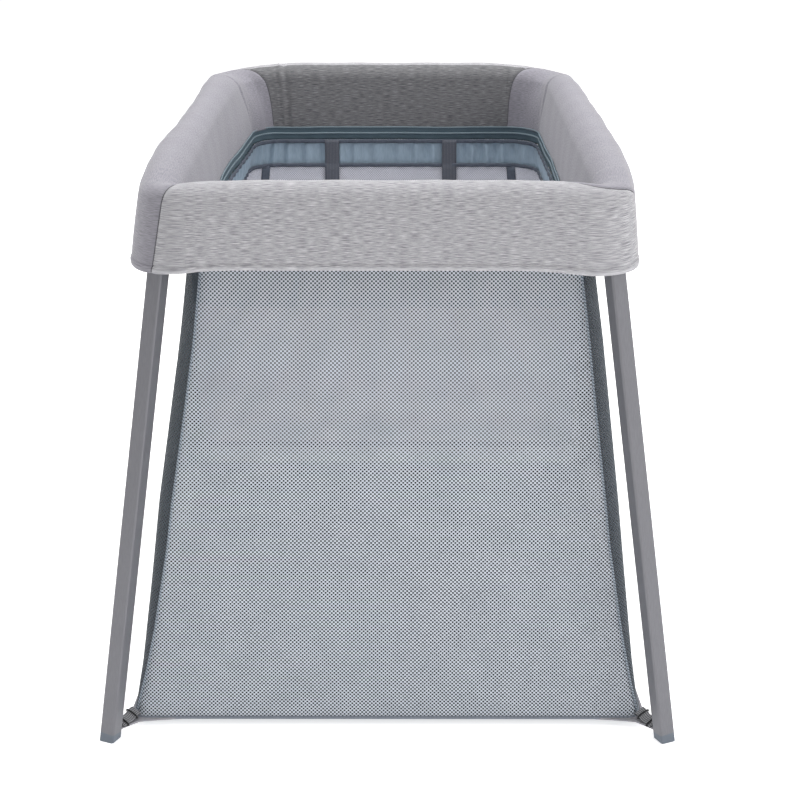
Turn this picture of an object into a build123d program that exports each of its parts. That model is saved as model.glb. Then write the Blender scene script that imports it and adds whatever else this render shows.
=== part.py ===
"""Folding travel cot with a zip-in bassinet, in millimetres.

The origin is on the floor under the middle of the cot. X runs across the short ends, Y along the
cot with the front end at -Y, and Z is up. Two end frames, each a rail on two splayed legs, are
joined by side rails that fold downwards at a hinge half way along. A padded cover hangs over the
rails, a mesh wall runs from it to the floor, and a mesh bassinet is zipped in under the cover.
"""

import os
from math import cos, radians, sin

from build123d import *

# Overall size, and how far the feet spread beyond the rim
HEIGHT = 765.0
RIM_WIDTH = 650.0
RIM_LENGTH = 1000.0
FOOT_SPREAD_X = 136.0
FOOT_SPREAD_Y = 58.0

# Padded rim cover
RIM_THICKNESS = 60.0
RIM_DROP_OUTSIDE = 108.0
RIM_DROP_INSIDE = 108.0
RIM_PAD = 9.0
RIM_HEM = 6.0
RIM_ROOF = 16.0
RIM_LEAN = 3.0
RIM_CHAMFER = 14.0
RIM_INNER_RADIUS = 12.0

# Aluminium tubes
RAIL_WIDTH = 20.0
RAIL_HEIGHT = 24.0
RAIL_WALL = 1.6
RAIL_EDGE = 3.0
LEG_SIDE = 22.0
LEG_WALL = 1.8
LEG_EDGE = 3.0
LEG_TWIST = 25.0
LEG_TOP_DROP = 18.0
LEG_CORNER_REACH = 51.2

# Feet and the webbing that ties the base to the legs
FOOT_BLOCK = 11.0
FOOT_PLUG = 18.0
STRAP_HEIGHT = 27.0
STRAP_WIDTH = 18.0
STRAP_THICKNESS = 2.0
STRAP_SPAN = 69.8
LOOP_LENGTH = 6.0
LOOP_WIDTH = 9.0
LOOP_HEIGHT = 26.0
LOOP_EDGE = 2.0

# Corner fittings and the pivots of the side rails
FITTING_WALL = 3.5
FITTING_COVER_GAP = 1.0
FITTING_BELOW_HEM = 6.0
FITTING_EDGE = 6.0
SPIGOT_LENGTH = 30.0
PIVOT_INSET = 55.0
EAR_THICKNESS = 5.0
EAR_RADIUS = 10.0
EAR_ROOT = 2.0
SOCKET_SPARE = 3.0
TONGUE_THICKNESS = 10.0
TONGUE_RADIUS = 9.0
TONGUE_NECK = 8.0
RAIL_COLLAR = 5.0
PIN_RADIUS = 3.5
RIVET_RADIUS = 2.4
RIVET_WALL = 1.5
RIVET_DEPTH = 12.0
RIVET_HEAD = 1.5
RIVET_DROP = 42.0

# Middle hinge of each side rail
HINGE_RISE = 4.0
HINGE_HEADROOM = 3.0
KNUCKLE_RADIUS = 8.0
KNUCKLE_WEB = 6.0
HINGE_BLOCK = 46.0
HINGE_PLUG = 30.0
STOP_GAP = 0.4
BUTTON_RADIUS = 6.0
BUTTON_LENGTH = 10.0
BUTTON_PROUD = 4.0
BUTTON_TRAVEL = 4.0
BUTTON_CHAMFER = 1.2
BUTTON_INSET = 28.0

# Mesh wall and base
MESH_THICKNESS = 2.0
MESH_SET_IN_X = 39.0
MESH_SET_IN_Y = 54.0
MESH_BASE_RADIUS = 22.0
MESH_TOP_RADIUS = 22.0
MESH_SETBACK = 1.0
BASE_CLEARANCE_BELOW = 14.0
BASE_THICKNESS = 10.0
BASE_MARGIN = 2.0

# Zip-in bassinet
ZIP_TAPE = 11.5
ZIP_THICKNESS = 1.6
ZIP_OVERLAP = 3.0
SKIRT_HEIGHT = 46.0
SKIRT_THICKNESS = 1.2
SKIRT_FOLD_PITCH = 46.0
SKIRT_FOLD_DEPTH = 2.4
BASSINET_DEPTH = 365.0
BASSINET_TAPER = 15.0
BASSINET_RADIUS = 30.0
BASSINET_WALL = 2.0
FLOOR_BOARD = 8.0
MATTRESS_THICKNESS = 40.0
MATTRESS_GAP = 8.0
MATTRESS_TUCK = 9.0
# share of the pad's height, and how many tucks its side is drawn in there
MATTRESS_SIDES = ((0.0, 1.0), (0.15, 0.3), (0.4, 0.0), (0.65, 0.0), (0.85, 0.6), (0.95, 1.6), (1.0, 3.0))
SLING_SPACING = 220.0
SLING_WIDTH = 25.0
SLING_THICKNESS = 1.5
SLIDER_SET_IN = 60.0
SLIDER_LENGTH = 14.0
SLIDER_HEIGHT = 9.0
SLIDER_THICKNESS = 5.0
SLIDER_EDGE = 3.0
PULL_LENGTH = 24.0
PULL_WIDTH = 8.0
PULL_THICKNESS = 2.0
PULL_EYE_DROP = 16.8
PULL_EYE_RADIUS = 2.25

# Clearances
PLUG_CLEARANCE = 0.2
PRESS_CLEARANCE = 0.02
RUNNING_CLEARANCE = 0.06
SIDE_CLEARANCE = 0.2
TURNING_CLEARANCE = 0.8
SOFT_CLEARANCE = 0.3

ENDS = {"front": -1, "back": 1}
SIDES = {"left": -1, "right": 1}
HALVES = {"front": -1, "rear": 1}

# Places worked out from the driving sizes
RIM_HEM_OUTSIDE = HEIGHT - RIM_DROP_OUTSIDE
RIM_HEM_INSIDE = HEIGHT - RIM_DROP_INSIDE
OPENING_X = RIM_WIDTH / 2 - RIM_THICKNESS
OPENING_Y = RIM_LENGTH / 2 - RIM_THICKNESS
RIM_CENTRE_X = OPENING_X - RIM_INNER_RADIUS
RIM_CENTRE_Y = OPENING_Y - RIM_INNER_RADIUS
RAIL_X = RIM_WIDTH / 2 - RIM_THICKNESS / 2
RAIL_Y = RIM_LENGTH / 2 - RIM_THICKNESS / 2
HINGE_Z = HEIGHT - RIM_ROOF - HINGE_HEADROOM - KNUCKLE_RADIUS
RAIL_TOP = HINGE_Z - HINGE_RISE
RAIL_Z = RAIL_TOP - RAIL_HEIGHT / 2
LEG_REACH_UP = RAIL_TOP - LEG_TOP_DROP
PIVOT_Y = RAIL_Y - PIVOT_INSET
RAIL_START = PIVOT_Y - TONGUE_RADIUS - TONGUE_NECK
FITTING_BOTTOM = RIM_HEM_OUTSIDE - FITTING_BELOW_HEM
FITTING_RADIUS = RIM_INNER_RADIUS + RIM_THICKNESS - RIM_PAD - FITTING_COVER_GAP
FOOT_REACH = LEG_SIDE / 2 * (cos(radians(LEG_TWIST)) + sin(radians(LEG_TWIST)))
FOOT_SPAN_X = RIM_WIDTH + FOOT_SPREAD_X
FOOT_SPAN_Y = RIM_LENGTH + FOOT_SPREAD_Y
MESH_BASE_WIDTH = FOOT_SPAN_X - 2 * MESH_SET_IN_X
MESH_BASE_LENGTH = FOOT_SPAN_Y - 2 * MESH_SET_IN_Y
FOOT_X = FOOT_SPAN_X / 2 - FOOT_REACH
FOOT_Y = FOOT_SPAN_Y / 2 - FOOT_REACH
LEG_INSET = LEG_CORNER_REACH - FOOT_REACH
HEM_LEG_X = RIM_CENTRE_X + LEG_INSET
HEM_LEG_Y = RIM_CENTRE_Y + LEG_INSET
STRAP_REACH = STRAP_SPAN - 2 * FOOT_REACH
BASSINET_FLOOR_HEIGHT = HEIGHT - BASSINET_DEPTH
BASSINET_FLOOR_WIDTH = 2 * (OPENING_X - BASSINET_TAPER)
BASSINET_FLOOR_LENGTH = 2 * (OPENING_Y - BASSINET_TAPER)
SLIDER_PLACE = OPENING_Y - SLIDER_SET_IN
ZIP_LINE = RIM_HEM_INSIDE + ZIP_OVERLAP - ZIP_TAPE
SKIRT_TOP = ZIP_LINE - ZIP_TAPE
SKIRT_BOTTOM = SKIRT_TOP - SKIRT_HEIGHT
SKIRT_SET_IN = SKIRT_FOLD_DEPTH / 2 + SIDE_CLEARANCE
PIN_LENGTH = TONGUE_THICKNESS + 2 * SIDE_CLEARANCE + 2 * EAR_THICKNESS


def leg_point(side, end, height):
    """The point on a leg's axis at a height above the floor."""
    share = height / FITTING_BOTTOM
    x = FOOT_X + (HEM_LEG_X - FOOT_X) * share
    y = FOOT_Y + (HEM_LEG_Y - FOOT_Y) * share
    return Vector(side * x, end * y, height)


def leg_plane(side, end, height):
    """A plane across a leg, with its x axis square to the leg's outward face and z up the leg."""
    along = leg_point(side, end, LEG_REACH_UP) - leg_point(side, end, 0)
    twist = radians(LEG_TWIST)
    outward = Vector(side * sin(twist), end * cos(twist), 0)
    return Plane(leg_point(side, end, height), x_dir=outward, z_dir=along)


def save(part, name):
    """Labels a finished piece and writes it as its own STEP file."""
    part.label = name
    export_step(part, os.path.join("parts", name + ".step"))


# Legs, feet and the end frames


def make_leg(side, end):
    with BuildPart() as leg:
        with BuildSketch(leg_plane(side, end, FOOT_BLOCK)):
            RectangleRounded(LEG_SIDE, LEG_SIDE, LEG_EDGE)
            inside = LEG_SIDE - 2 * LEG_WALL
            RectangleRounded(inside, inside, LEG_EDGE - LEG_WALL, mode=Mode.SUBTRACT)
        extrude(amount=LEG_REACH_UP - FOOT_BLOCK)
        with BuildSketch(rivet_plane(side, end)):
            Circle(RIVET_RADIUS + PRESS_CLEARANCE)
        extrude(amount=RIVET_DEPTH, mode=Mode.SUBTRACT)
    return leg.part


def make_feet(end):
    with BuildPart() as feet:
        for side in SIDES.values():
            with BuildSketch(leg_plane(side, end, FOOT_BLOCK)):
                RectangleRounded(LEG_SIDE, LEG_SIDE, LEG_EDGE)
            extrude(amount=-2 * FOOT_BLOCK)
            plug = LEG_SIDE - 2 * LEG_WALL - 2 * PLUG_CLEARANCE
            with BuildSketch(leg_plane(side, end, FOOT_BLOCK)):
                RectangleRounded(plug, plug, LEG_EDGE - LEG_WALL)
            extrude(amount=FOOT_PLUG)
        split(bisect_by=Plane.XY, keep=Keep.TOP)
    return feet.part


def fitting_outline(side, end):
    """Plan of a corner fitting: a block round the leg whose outer corner follows the cover's bend."""
    inner_x = fitting_inner_x()
    inner_y = fitting_inner_y()
    outer_x = RIM_CENTRE_X + FITTING_RADIUS
    outer_y = RIM_CENTRE_Y + FITTING_RADIUS
    middle = (side * (inner_x + outer_x) / 2, end * (inner_y + outer_y) / 2)
    with BuildSketch(Plane.XY.offset(FITTING_BOTTOM)) as outline:
        with Locations((side * RIM_CENTRE_X, end * RIM_CENTRE_Y)):
            Circle(FITTING_RADIUS)
        with Locations(middle):
            RectangleRounded(outer_x - inner_x, outer_y - inner_y, FITTING_EDGE, mode=Mode.INTERSECT)
        # keeps clear of the cover's inner bend
        with Locations((side * RIM_CENTRE_X, end * RIM_CENTRE_Y)):
            Circle(RIM_INNER_RADIUS + RIM_PAD + FITTING_COVER_GAP, mode=Mode.SUBTRACT)
    return outline.sketch


def fitting_inner_y():
    """Distance from the middle of the cot to the inward face of a corner fitting."""
    return leg_point(1, 1, LEG_REACH_UP).Y - FOOT_REACH - RIVET_WALL


def fitting_inner_x():
    """Distance from the middle of the cot to the sideways inner face of a corner fitting."""
    return leg_point(1, 1, LEG_REACH_UP).X - FOOT_REACH - FITTING_WALL


def rivet_plane(side, end):
    """Where a rivet enters the inward face of a corner fitting, pointing into the leg."""
    height = RAIL_Z - RIVET_DROP
    x = leg_point(side, end, height).X
    return Plane((x, end * fitting_inner_y(), height), x_dir=(1, 0, 0), z_dir=(0, end, 0))


def pivot_plane(side, along, height, offset=0.0):
    """A plane square to a hinge axis, with x along the cot and y up, moved out sideways by offset."""
    return Plane((side * RAIL_X + offset, along, height), x_dir=(0, 1, 0), z_dir=(1, 0, 0))


def make_corner(side, end):
    spigot_width = RAIL_WIDTH - 2 * RAIL_WALL - 2 * PLUG_CLEARANCE
    spigot_height = RAIL_HEIGHT - 2 * RAIL_WALL - 2 * PLUG_CLEARANCE
    reach = fitting_inner_y() - PIVOT_Y + EAR_ROOT
    with BuildPart() as corner:
        extrude(fitting_outline(side, end), amount=RAIL_TOP - FITTING_BOTTOM)
        # spigot that the end rail is pushed onto
        inner_point = (side * fitting_inner_x(), end * RAIL_Y, RAIL_Z)
        inner_face = Plane(inner_point, x_dir=(0, 1, 0), z_dir=(-side, 0, 0))
        with BuildSketch(inner_face):
            RectangleRounded(spigot_width, spigot_height, RAIL_EDGE - RAIL_WALL)
        extrude(amount=SPIGOT_LENGTH)
        # pair of ears that carry the side rail's pivot
        for hand in (-1, 1):
            offset = hand * (TONGUE_THICKNESS / 2 + SIDE_CLEARANCE + EAR_THICKNESS / 2)
            with BuildSketch(pivot_plane(side, end * PIVOT_Y, RAIL_Z, offset)):
                Circle(EAR_RADIUS)
                with Locations((end * reach / 2, 0)):
                    Rectangle(reach, 2 * EAR_RADIUS)
            extrude(amount=EAR_THICKNESS / 2, both=True)
        with BuildSketch(pivot_plane(side, end * PIVOT_Y, RAIL_Z)):
            Circle(PIN_RADIUS + PRESS_CLEARANCE)
        extrude(amount=PIN_LENGTH, both=True, mode=Mode.SUBTRACT)
        # tilted socket for the leg, and the rivet through its wall
        with BuildSketch(leg_plane(side, end, FITTING_BOTTOM - LEG_SIDE)):
            socket = LEG_SIDE + 2 * PLUG_CLEARANCE
            RectangleRounded(socket, socket, LEG_EDGE)
        extrude(amount=LEG_REACH_UP - FITTING_BOTTOM + LEG_SIDE + SOCKET_SPARE, mode=Mode.SUBTRACT)
        with BuildSketch(rivet_plane(side, end)):
            Circle(RIVET_RADIUS + PRESS_CLEARANCE)
        extrude(amount=RIVET_DEPTH, mode=Mode.SUBTRACT)
    return corner.part


def make_end_rail(end):
    length = 2 * fitting_inner_x()
    with BuildPart() as rail:
        with BuildSketch(Plane((-length / 2, end * RAIL_Y, RAIL_Z), x_dir=(0, 1, 0), z_dir=(1, 0, 0))):
            RectangleRounded(RAIL_WIDTH, RAIL_HEIGHT, RAIL_EDGE)
            RectangleRounded(
                RAIL_WIDTH - 2 * RAIL_WALL,
                RAIL_HEIGHT - 2 * RAIL_WALL,
                RAIL_EDGE - RAIL_WALL,
                mode=Mode.SUBTRACT,
            )
        extrude(amount=length)
    return rail.part


def make_corner_pins(end):
    with BuildPart() as pins:
        for side in SIDES.values():
            with BuildSketch(pivot_plane(side, end * PIVOT_Y, RAIL_Z)):
                Circle(PIN_RADIUS)
            extrude(amount=PIN_LENGTH / 2, both=True)
    return pins.part


def make_leg_rivets(end):
    with BuildPart() as rivets:
        for side in SIDES.values():
            with BuildSketch(rivet_plane(side, end)):
                Circle(RIVET_RADIUS)
            extrude(amount=RIVET_DEPTH)
            with BuildSketch(rivet_plane(side, end)):
                Circle(2 * RIVET_RADIUS)
            extrude(amount=-RIVET_HEAD)
    return rivets.part


# Folding side rails


def rail_plane(side, along, way):
    """A plane across a side rail at a place along the cot, facing way along the cot."""
    return Plane((side * RAIL_X, along, RAIL_Z), x_dir=(1, 0, 0), z_dir=(0, way, 0))


def make_side_rail(side, half):
    with BuildPart() as rail:
        with BuildSketch(rail_plane(side, half * RAIL_START, -half)):
            RectangleRounded(RAIL_WIDTH, RAIL_HEIGHT, RAIL_EDGE)
            RectangleRounded(
                RAIL_WIDTH - 2 * RAIL_WALL,
                RAIL_HEIGHT - 2 * RAIL_WALL,
                RAIL_EDGE - RAIL_WALL,
                mode=Mode.SUBTRACT,
            )
        extrude(amount=RAIL_START - HINGE_BLOCK)
    return rail.part


def rail_plug(side, half, place, towards):
    """A moulded plug that fills a side rail's bore from place, running towards +1 or -1 along the cot."""
    with BuildPart() as plug:
        with BuildSketch(rail_plane(side, half * place, towards)):
            RectangleRounded(
                RAIL_WIDTH - 2 * RAIL_WALL - 2 * PLUG_CLEARANCE,
                RAIL_HEIGHT - 2 * RAIL_WALL - 2 * PLUG_CLEARANCE,
                RAIL_EDGE - RAIL_WALL,
            )
        extrude(amount=HINGE_PLUG)
    return plug.part


def make_rail_end(side, half):
    """Plug with a flat tongue that turns on the pin between a corner fitting's ears."""
    with BuildPart() as rail_end:
        add(rail_plug(side, half, RAIL_START, -half))
        with BuildSketch(rail_plane(side, half * RAIL_START, half)):
            RectangleRounded(RAIL_WIDTH, RAIL_HEIGHT, RAIL_EDGE)
        extrude(amount=RAIL_COLLAR)
        with BuildSketch(pivot_plane(side, half * PIVOT_Y, RAIL_Z)):
            Circle(TONGUE_RADIUS)
            length = PIVOT_Y - RAIL_START
            with Locations((-half * length / 2, 0)):
                Rectangle(length, 2 * TONGUE_RADIUS)
        extrude(amount=TONGUE_THICKNESS / 2, both=True)
        with BuildSketch(pivot_plane(side, half * PIVOT_Y, RAIL_Z)):
            Circle(PIN_RADIUS + RUNNING_CLEARANCE)
        extrude(amount=TONGUE_THICKNESS, both=True, mode=Mode.SUBTRACT)
    return rail_end.part


def hinge_block(side, half):
    """Block that butts against its twin under the hinge pin, cut clear of the other half's knuckle."""
    length = HINGE_BLOCK - STOP_GAP / 2
    with BuildPart() as block:
        with BuildSketch(rail_plane(side, half * HINGE_BLOCK, -half)):
            RectangleRounded(RAIL_WIDTH, RAIL_HEIGHT, RAIL_EDGE)
        extrude(amount=length)
        add(rail_plug(side, half, HINGE_BLOCK, half))
        with BuildSketch(pivot_plane(side, 0, HINGE_Z)):
            Circle(KNUCKLE_RADIUS + TURNING_CLEARANCE)
        extrude(amount=RAIL_WIDTH, both=True, mode=Mode.SUBTRACT)
    return block.part


def knuckle(side, half, offset, thickness):
    """A round hinge leaf with the web that joins it to its block."""
    web = KNUCKLE_RADIUS + KNUCKLE_WEB
    drop = HINGE_Z - RAIL_TOP
    with BuildPart() as leaf:
        with BuildSketch(pivot_plane(side, 0, HINGE_Z, offset)):
            Circle(KNUCKLE_RADIUS)
            with Locations((half * web / 2, -drop - KNUCKLE_RADIUS / 2)):
                Rectangle(web, KNUCKLE_RADIUS)
        extrude(amount=thickness / 2, both=True)
    return leaf.part


def make_hinge_fork(side):
    """Front half of a middle hinge: two cheeks, and the blind bore of the release button."""
    half = HALVES["front"]
    cheek = (RAIL_WIDTH - TONGUE_THICKNESS) / 2 - SIDE_CLEARANCE
    with BuildPart() as fork:
        add(hinge_block(side, half))
        for hand in (-1, 1):
            add(knuckle(side, half, hand * (RAIL_WIDTH - cheek) / 2, cheek))
        with BuildSketch(pivot_plane(side, 0, HINGE_Z)):
            Circle(PIN_RADIUS + PRESS_CLEARANCE)
        extrude(amount=RAIL_WIDTH, both=True, mode=Mode.SUBTRACT)
        # room between the cheeks for the tongue, and the button's bore from outside
        with BuildSketch(pivot_plane(side, 0, HINGE_Z)):
            Circle(KNUCKLE_RADIUS + TURNING_CLEARANCE)
        extrude(amount=TONGUE_THICKNESS / 2 + SIDE_CLEARANCE, both=True, mode=Mode.SUBTRACT)
        with BuildSketch(button_plane(side, RAIL_WIDTH / 2)):
            Circle(BUTTON_RADIUS + SOFT_CLEARANCE)
        depth = BUTTON_LENGTH - BUTTON_PROUD + BUTTON_TRAVEL + SOFT_CLEARANCE
        extrude(amount=-depth, mode=Mode.SUBTRACT)
    return fork.part


def make_hinge_tongue(side):
    """Rear half of a middle hinge: one leaf that turns on the pin between the cheeks."""
    half = HALVES["rear"]
    with BuildPart() as tongue:
        add(hinge_block(side, half))
        add(knuckle(side, half, 0, TONGUE_THICKNESS))
        with BuildSketch(pivot_plane(side, 0, HINGE_Z)):
            Circle(PIN_RADIUS + RUNNING_CLEARANCE)
        extrude(amount=RAIL_WIDTH, both=True, mode=Mode.SUBTRACT)
    return tongue.part


def make_hinge_pin(side):
    with BuildPart() as pin:
        with BuildSketch(pivot_plane(side, 0, HINGE_Z)):
            Circle(PIN_RADIUS)
        extrude(amount=RAIL_WIDTH / 2, both=True)
    return pin.part


def button_plane(side, outward):
    """A plane across the release button's axis, facing out of the cot's side."""
    x = side * (RAIL_X + outward)
    return Plane((x, -BUTTON_INSET, RAIL_Z), x_dir=(0, side, 0), z_dir=(side, 0, 0))


def make_latch_button(side):
    with BuildPart() as button:
        with BuildSketch(button_plane(side, RAIL_WIDTH / 2 + BUTTON_PROUD)):
            Circle(BUTTON_RADIUS)
        extrude(amount=-BUTTON_LENGTH)
        crown = button.faces().sort_by(Axis.X)[-1 if side > 0 else 0]
        chamfer(crown.edges(), BUTTON_CHAMFER)
    return button.part


# Padded rim cover


def rim_profile(plane):
    """Section of the padded cover on a plane whose x runs outwards from the inner face and y up."""
    middle = RIM_THICKNESS / 2
    crown = middle - RIM_LEAN
    spring = HEIGHT - crown
    roof = HEIGHT - RIM_ROOF
    left = RIM_PAD
    right = RIM_THICKNESS - RIM_PAD
    with BuildSketch(plane) as section:
        with BuildLine():
            Line((RIM_THICKNESS - RIM_HEM, RIM_HEM_OUTSIDE), (RIM_THICKNESS, RIM_HEM_OUTSIDE))
            Line((RIM_THICKNESS, RIM_HEM_OUTSIDE), (RIM_THICKNESS - RIM_LEAN, spring))
            RadiusArc((RIM_THICKNESS - RIM_LEAN, spring), (middle, HEIGHT), -crown)
            RadiusArc((middle, HEIGHT), (RIM_LEAN, spring), -crown)
            Line((RIM_LEAN, spring), (0, RIM_HEM_INSIDE))
            Line((0, RIM_HEM_INSIDE), (RIM_HEM, RIM_HEM_INSIDE))
            Polyline(
                (RIM_HEM, RIM_HEM_INSIDE),
                (left, roof - RIM_CHAMFER),
                (left + RIM_CHAMFER / 2, roof),
                (right - RIM_CHAMFER / 2, roof),
                (right, roof - RIM_CHAMFER),
                (RIM_THICKNESS - RIM_HEM, RIM_HEM_OUTSIDE),
            )
        make_face()
    return section.sketch


def make_end_cover(end):
    """Straight cover over an end rail, from corner to corner."""
    plane = Plane((-RIM_CENTRE_X, end * OPENING_Y, 0), x_dir=(0, end, 0), z_dir=(end, 0, 0))
    with BuildPart() as cover:
        extrude(rim_profile(plane), amount=end * 2 * RIM_CENTRE_X)
    return cover.part


def make_corner_covers(end):
    """Quarter bends that join the end cover to the side covers."""
    with BuildPart() as corners:
        for side in SIDES.values():
            plane = Plane(
                (side * RIM_CENTRE_X, end * OPENING_Y, 0), x_dir=(0, end, 0), z_dir=(end, 0, 0)
            )
            axis = Axis((side * RIM_CENTRE_X, end * RIM_CENTRE_Y, 0), (0, 0, -side * end))
            revolve(rim_profile(plane), axis=axis, revolution_arc=90)
    return corners.part


def make_side_cover(side, half):
    """Straight cover over half of a side rail, from the corner to the middle hinge."""
    plane = Plane((side * OPENING_X, half * RIM_CENTRE_Y, 0), x_dir=(side, 0, 0), z_dir=(0, -side, 0))
    with BuildPart() as cover:
        extrude(rim_profile(plane), amount=side * half * (RIM_CENTRE_Y - SOFT_CLEARANCE))
    return cover.part


# Mesh wall, base and the webbing at the feet


def ring_wall(bottom, top, thickness):
    """Thin lofted wall between two levels, each (height, width, length, corner radius) outside."""
    with BuildPart() as wall:
        for inset, mode in ((0.0, Mode.ADD), (thickness, Mode.SUBTRACT)):
            outlines = []
            for height, width, length, radius in (bottom, top):
                with BuildSketch(Plane.XY.offset(height)) as outline:
                    RectangleRounded(width - 2 * inset, length - 2 * inset, radius - inset)
                outlines.append(outline.sketch.face())
            loft(outlines, ruled=True, mode=mode)
    return wall.part


def mitred_panel(wall, half_x, half_y, way):
    """Cuts one panel out of a ring wall, split from its neighbours at 45 degrees in plan."""
    depth = half_x
    far = 2 * half_x
    if way[0]:
        near = [(half_x - depth, half_y - depth), (half_x + far, half_y + far)]
        outline = [near[0], near[1], (near[1][0], -near[1][1]), (near[0][0], -near[0][1])]
        outline = [(way[0] * x, y) for x, y in outline]
    else:
        outline = [(0, half_y - depth), (half_x + far, half_y + far), (-half_x - far, half_y + far)]
        outline = [(x, way[1] * y) for x, y in outline]
    with BuildPart() as panel:
        add(wall)
        with BuildSketch():
            with BuildLine():
                Polyline(*outline, close=True)
            make_face()
        extrude(amount=HEIGHT, mode=Mode.INTERSECT)
    return panel.part


def mesh_wall():
    """The whole mesh wall, sewn under the cover's inner hem and spreading towards the floor."""
    spread = 2 * (RIM_HEM - MESH_SETBACK)
    return ring_wall(
        (BASE_CLEARANCE_BELOW, MESH_BASE_WIDTH, MESH_BASE_LENGTH, MESH_BASE_RADIUS),
        (RIM_HEM_INSIDE, 2 * OPENING_X + spread, 2 * OPENING_Y + spread, MESH_TOP_RADIUS),
        MESH_THICKNESS,
    )


def make_base_panel():
    inset = 2 * (MESH_THICKNESS + BASE_MARGIN)
    with BuildPart() as base:
        with BuildSketch(Plane.XY.offset(BASE_CLEARANCE_BELOW)):
            width, length = MESH_BASE_WIDTH - inset, MESH_BASE_LENGTH - inset
            RectangleRounded(width, length, MESH_BASE_RADIUS - inset / 2)
        extrude(amount=BASE_THICKNESS)
        chamfer(base.faces().sort_by(Axis.Z)[-1].edges(), BASE_THICKNESS / 3)
    return base.part


def make_base_straps(end):
    """Webbing from each leg's inward face to the corner of the base."""
    start = LEG_SIDE / 2 + PLUG_CLEARANCE
    with BuildPart() as straps:
        for side in SIDES.values():
            plane = leg_plane(side, end, STRAP_HEIGHT - STRAP_WIDTH / 2)
            with BuildSketch(plane):
                with Locations((-start - STRAP_REACH / 2, 0)):
                    Rectangle(STRAP_REACH, STRAP_THICKNESS)
            extrude(amount=STRAP_WIDTH)
    return straps.part


def make_strap_loops(end):
    """Moulded loop on each leg that the webbing is threaded through."""
    start = LEG_SIDE / 2
    with BuildPart() as loops:
        for side in SIDES.values():
            plane = leg_plane(side, end, STRAP_HEIGHT)
            across = Plane(plane.origin - plane.x_dir * start, x_dir=plane.y_dir, z_dir=-plane.x_dir)
            with BuildSketch(across):
                RectangleRounded(LOOP_WIDTH, LOOP_HEIGHT, LOOP_EDGE)
                Rectangle(
                    STRAP_THICKNESS + TURNING_CLEARANCE,
                    STRAP_WIDTH + TURNING_CLEARANCE,
                    mode=Mode.SUBTRACT,
                )
            extrude(amount=LOOP_LENGTH)
    return loops.part


# Zip-in bassinet


def bassinet_ring(low, high, inset, thickness):
    """A band of the bassinet's tapering wall between two heights, inset from its outside."""
    rise = SKIRT_TOP - BASSINET_FLOOR_HEIGHT
    levels = []
    for height in (low, high):
        share = (height - BASSINET_FLOOR_HEIGHT) / rise
        width = BASSINET_FLOOR_WIDTH + (2 * OPENING_X - BASSINET_FLOOR_WIDTH) * share
        length = BASSINET_FLOOR_LENGTH + (2 * OPENING_Y - BASSINET_FLOOR_LENGTH) * share
        levels.append((height, width - 2 * inset, length - 2 * inset, BASSINET_RADIUS - inset))
    return ring_wall(levels[0], levels[1], thickness)


def gathered_outline(half_x, half_y, radius):
    """A rounded rectangle whose straight sides run in even folds, each a pair of shallow arcs."""
    corners = ((1, 1), (-1, 1), (-1, -1), (1, -1))
    with BuildSketch(Plane.XY.offset(SKIRT_BOTTOM)) as outline:
        with BuildLine():
            for (x, y), (next_x, next_y) in zip(corners, corners[1:] + corners[:1]):
                straight_x = half_x - (radius if y == next_y else 0)
                straight_y = half_y - (radius if x == next_x else 0)
                start = Vector(x * straight_x, y * straight_y)
                end = Vector(next_x * straight_x, next_y * straight_y)
                outward = Vector((x + next_x) / 2, (y + next_y) / 2)
                arcs = 2 * round((end - start).length / SKIRT_FOLD_PITCH)
                for arc in range(arcs):
                    first = start + (end - start) * (arc / arcs)
                    last = start + (end - start) * ((arc + 1) / arcs)
                    swing = outward * (SKIRT_FOLD_DEPTH / 2 * (1 if arc % 2 else -1))
                    ThreePointArc(first, (first + last) / 2 + swing, last)
                turn = Vector(next_x * half_x, next_y * half_y) - Vector(next_x, next_y) * radius
                away = Vector(0, next_y) if x == next_x else Vector(next_x, 0)
                corner_end = turn + away * radius
                bulge = turn + Vector(next_x, next_y).normalized() * radius
                ThreePointArc(end, bulge, corner_end)
        make_face()
    return outline.sketch


def make_skirt():
    """Gathered cloth band that hangs from the zip and carries the mesh walls."""
    with BuildPart() as skirt:
        for inset, mode in ((0.0, Mode.ADD), (SKIRT_THICKNESS, Mode.SUBTRACT)):
            set_in = SKIRT_SET_IN + inset
            outline = gathered_outline(OPENING_X - set_in, OPENING_Y - set_in, BASSINET_RADIUS - set_in)
            extrude(outline, amount=SKIRT_HEIGHT, mode=mode)
    return skirt.part


def make_zip_tape(low):
    """One half of the zip, a band round the top of the bassinet's opening."""
    width, length = 2 * OPENING_X, 2 * OPENING_Y
    outside = (width, length, BASSINET_RADIUS)
    return ring_wall((low, *outside), (low + ZIP_TAPE - SIDE_CLEARANCE, *outside), ZIP_THICKNESS)


def make_bassinet_floor():
    with BuildPart() as floor:
        with BuildSketch(Plane.XY.offset(BASSINET_FLOOR_HEIGHT - FLOOR_BOARD)):
            RectangleRounded(BASSINET_FLOOR_WIDTH, BASSINET_FLOOR_LENGTH, BASSINET_RADIUS)
        extrude(amount=FLOOR_BOARD)
    return floor.part


def make_mattress():
    """Foam pad with a crowned top and sides that draw in towards its seams."""
    width = BASSINET_FLOOR_WIDTH - 2 * (BASSINET_WALL + MATTRESS_GAP)
    length = BASSINET_FLOOR_LENGTH - 2 * (BASSINET_WALL + MATTRESS_GAP)
    with BuildPart() as mattress:
        sections = []
        for share, draw in MATTRESS_SIDES:
            tuck = draw * MATTRESS_TUCK
            height = BASSINET_FLOOR_HEIGHT + share * MATTRESS_THICKNESS
            with BuildSketch(Plane.XY.offset(height)) as outline:
                RectangleRounded(width - 2 * tuck, length - 2 * tuck, BASSINET_RADIUS - BASSINET_WALL)
            sections.append(outline.sketch.face())
        loft(sections, ruled=True)
    return mattress.part


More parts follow.
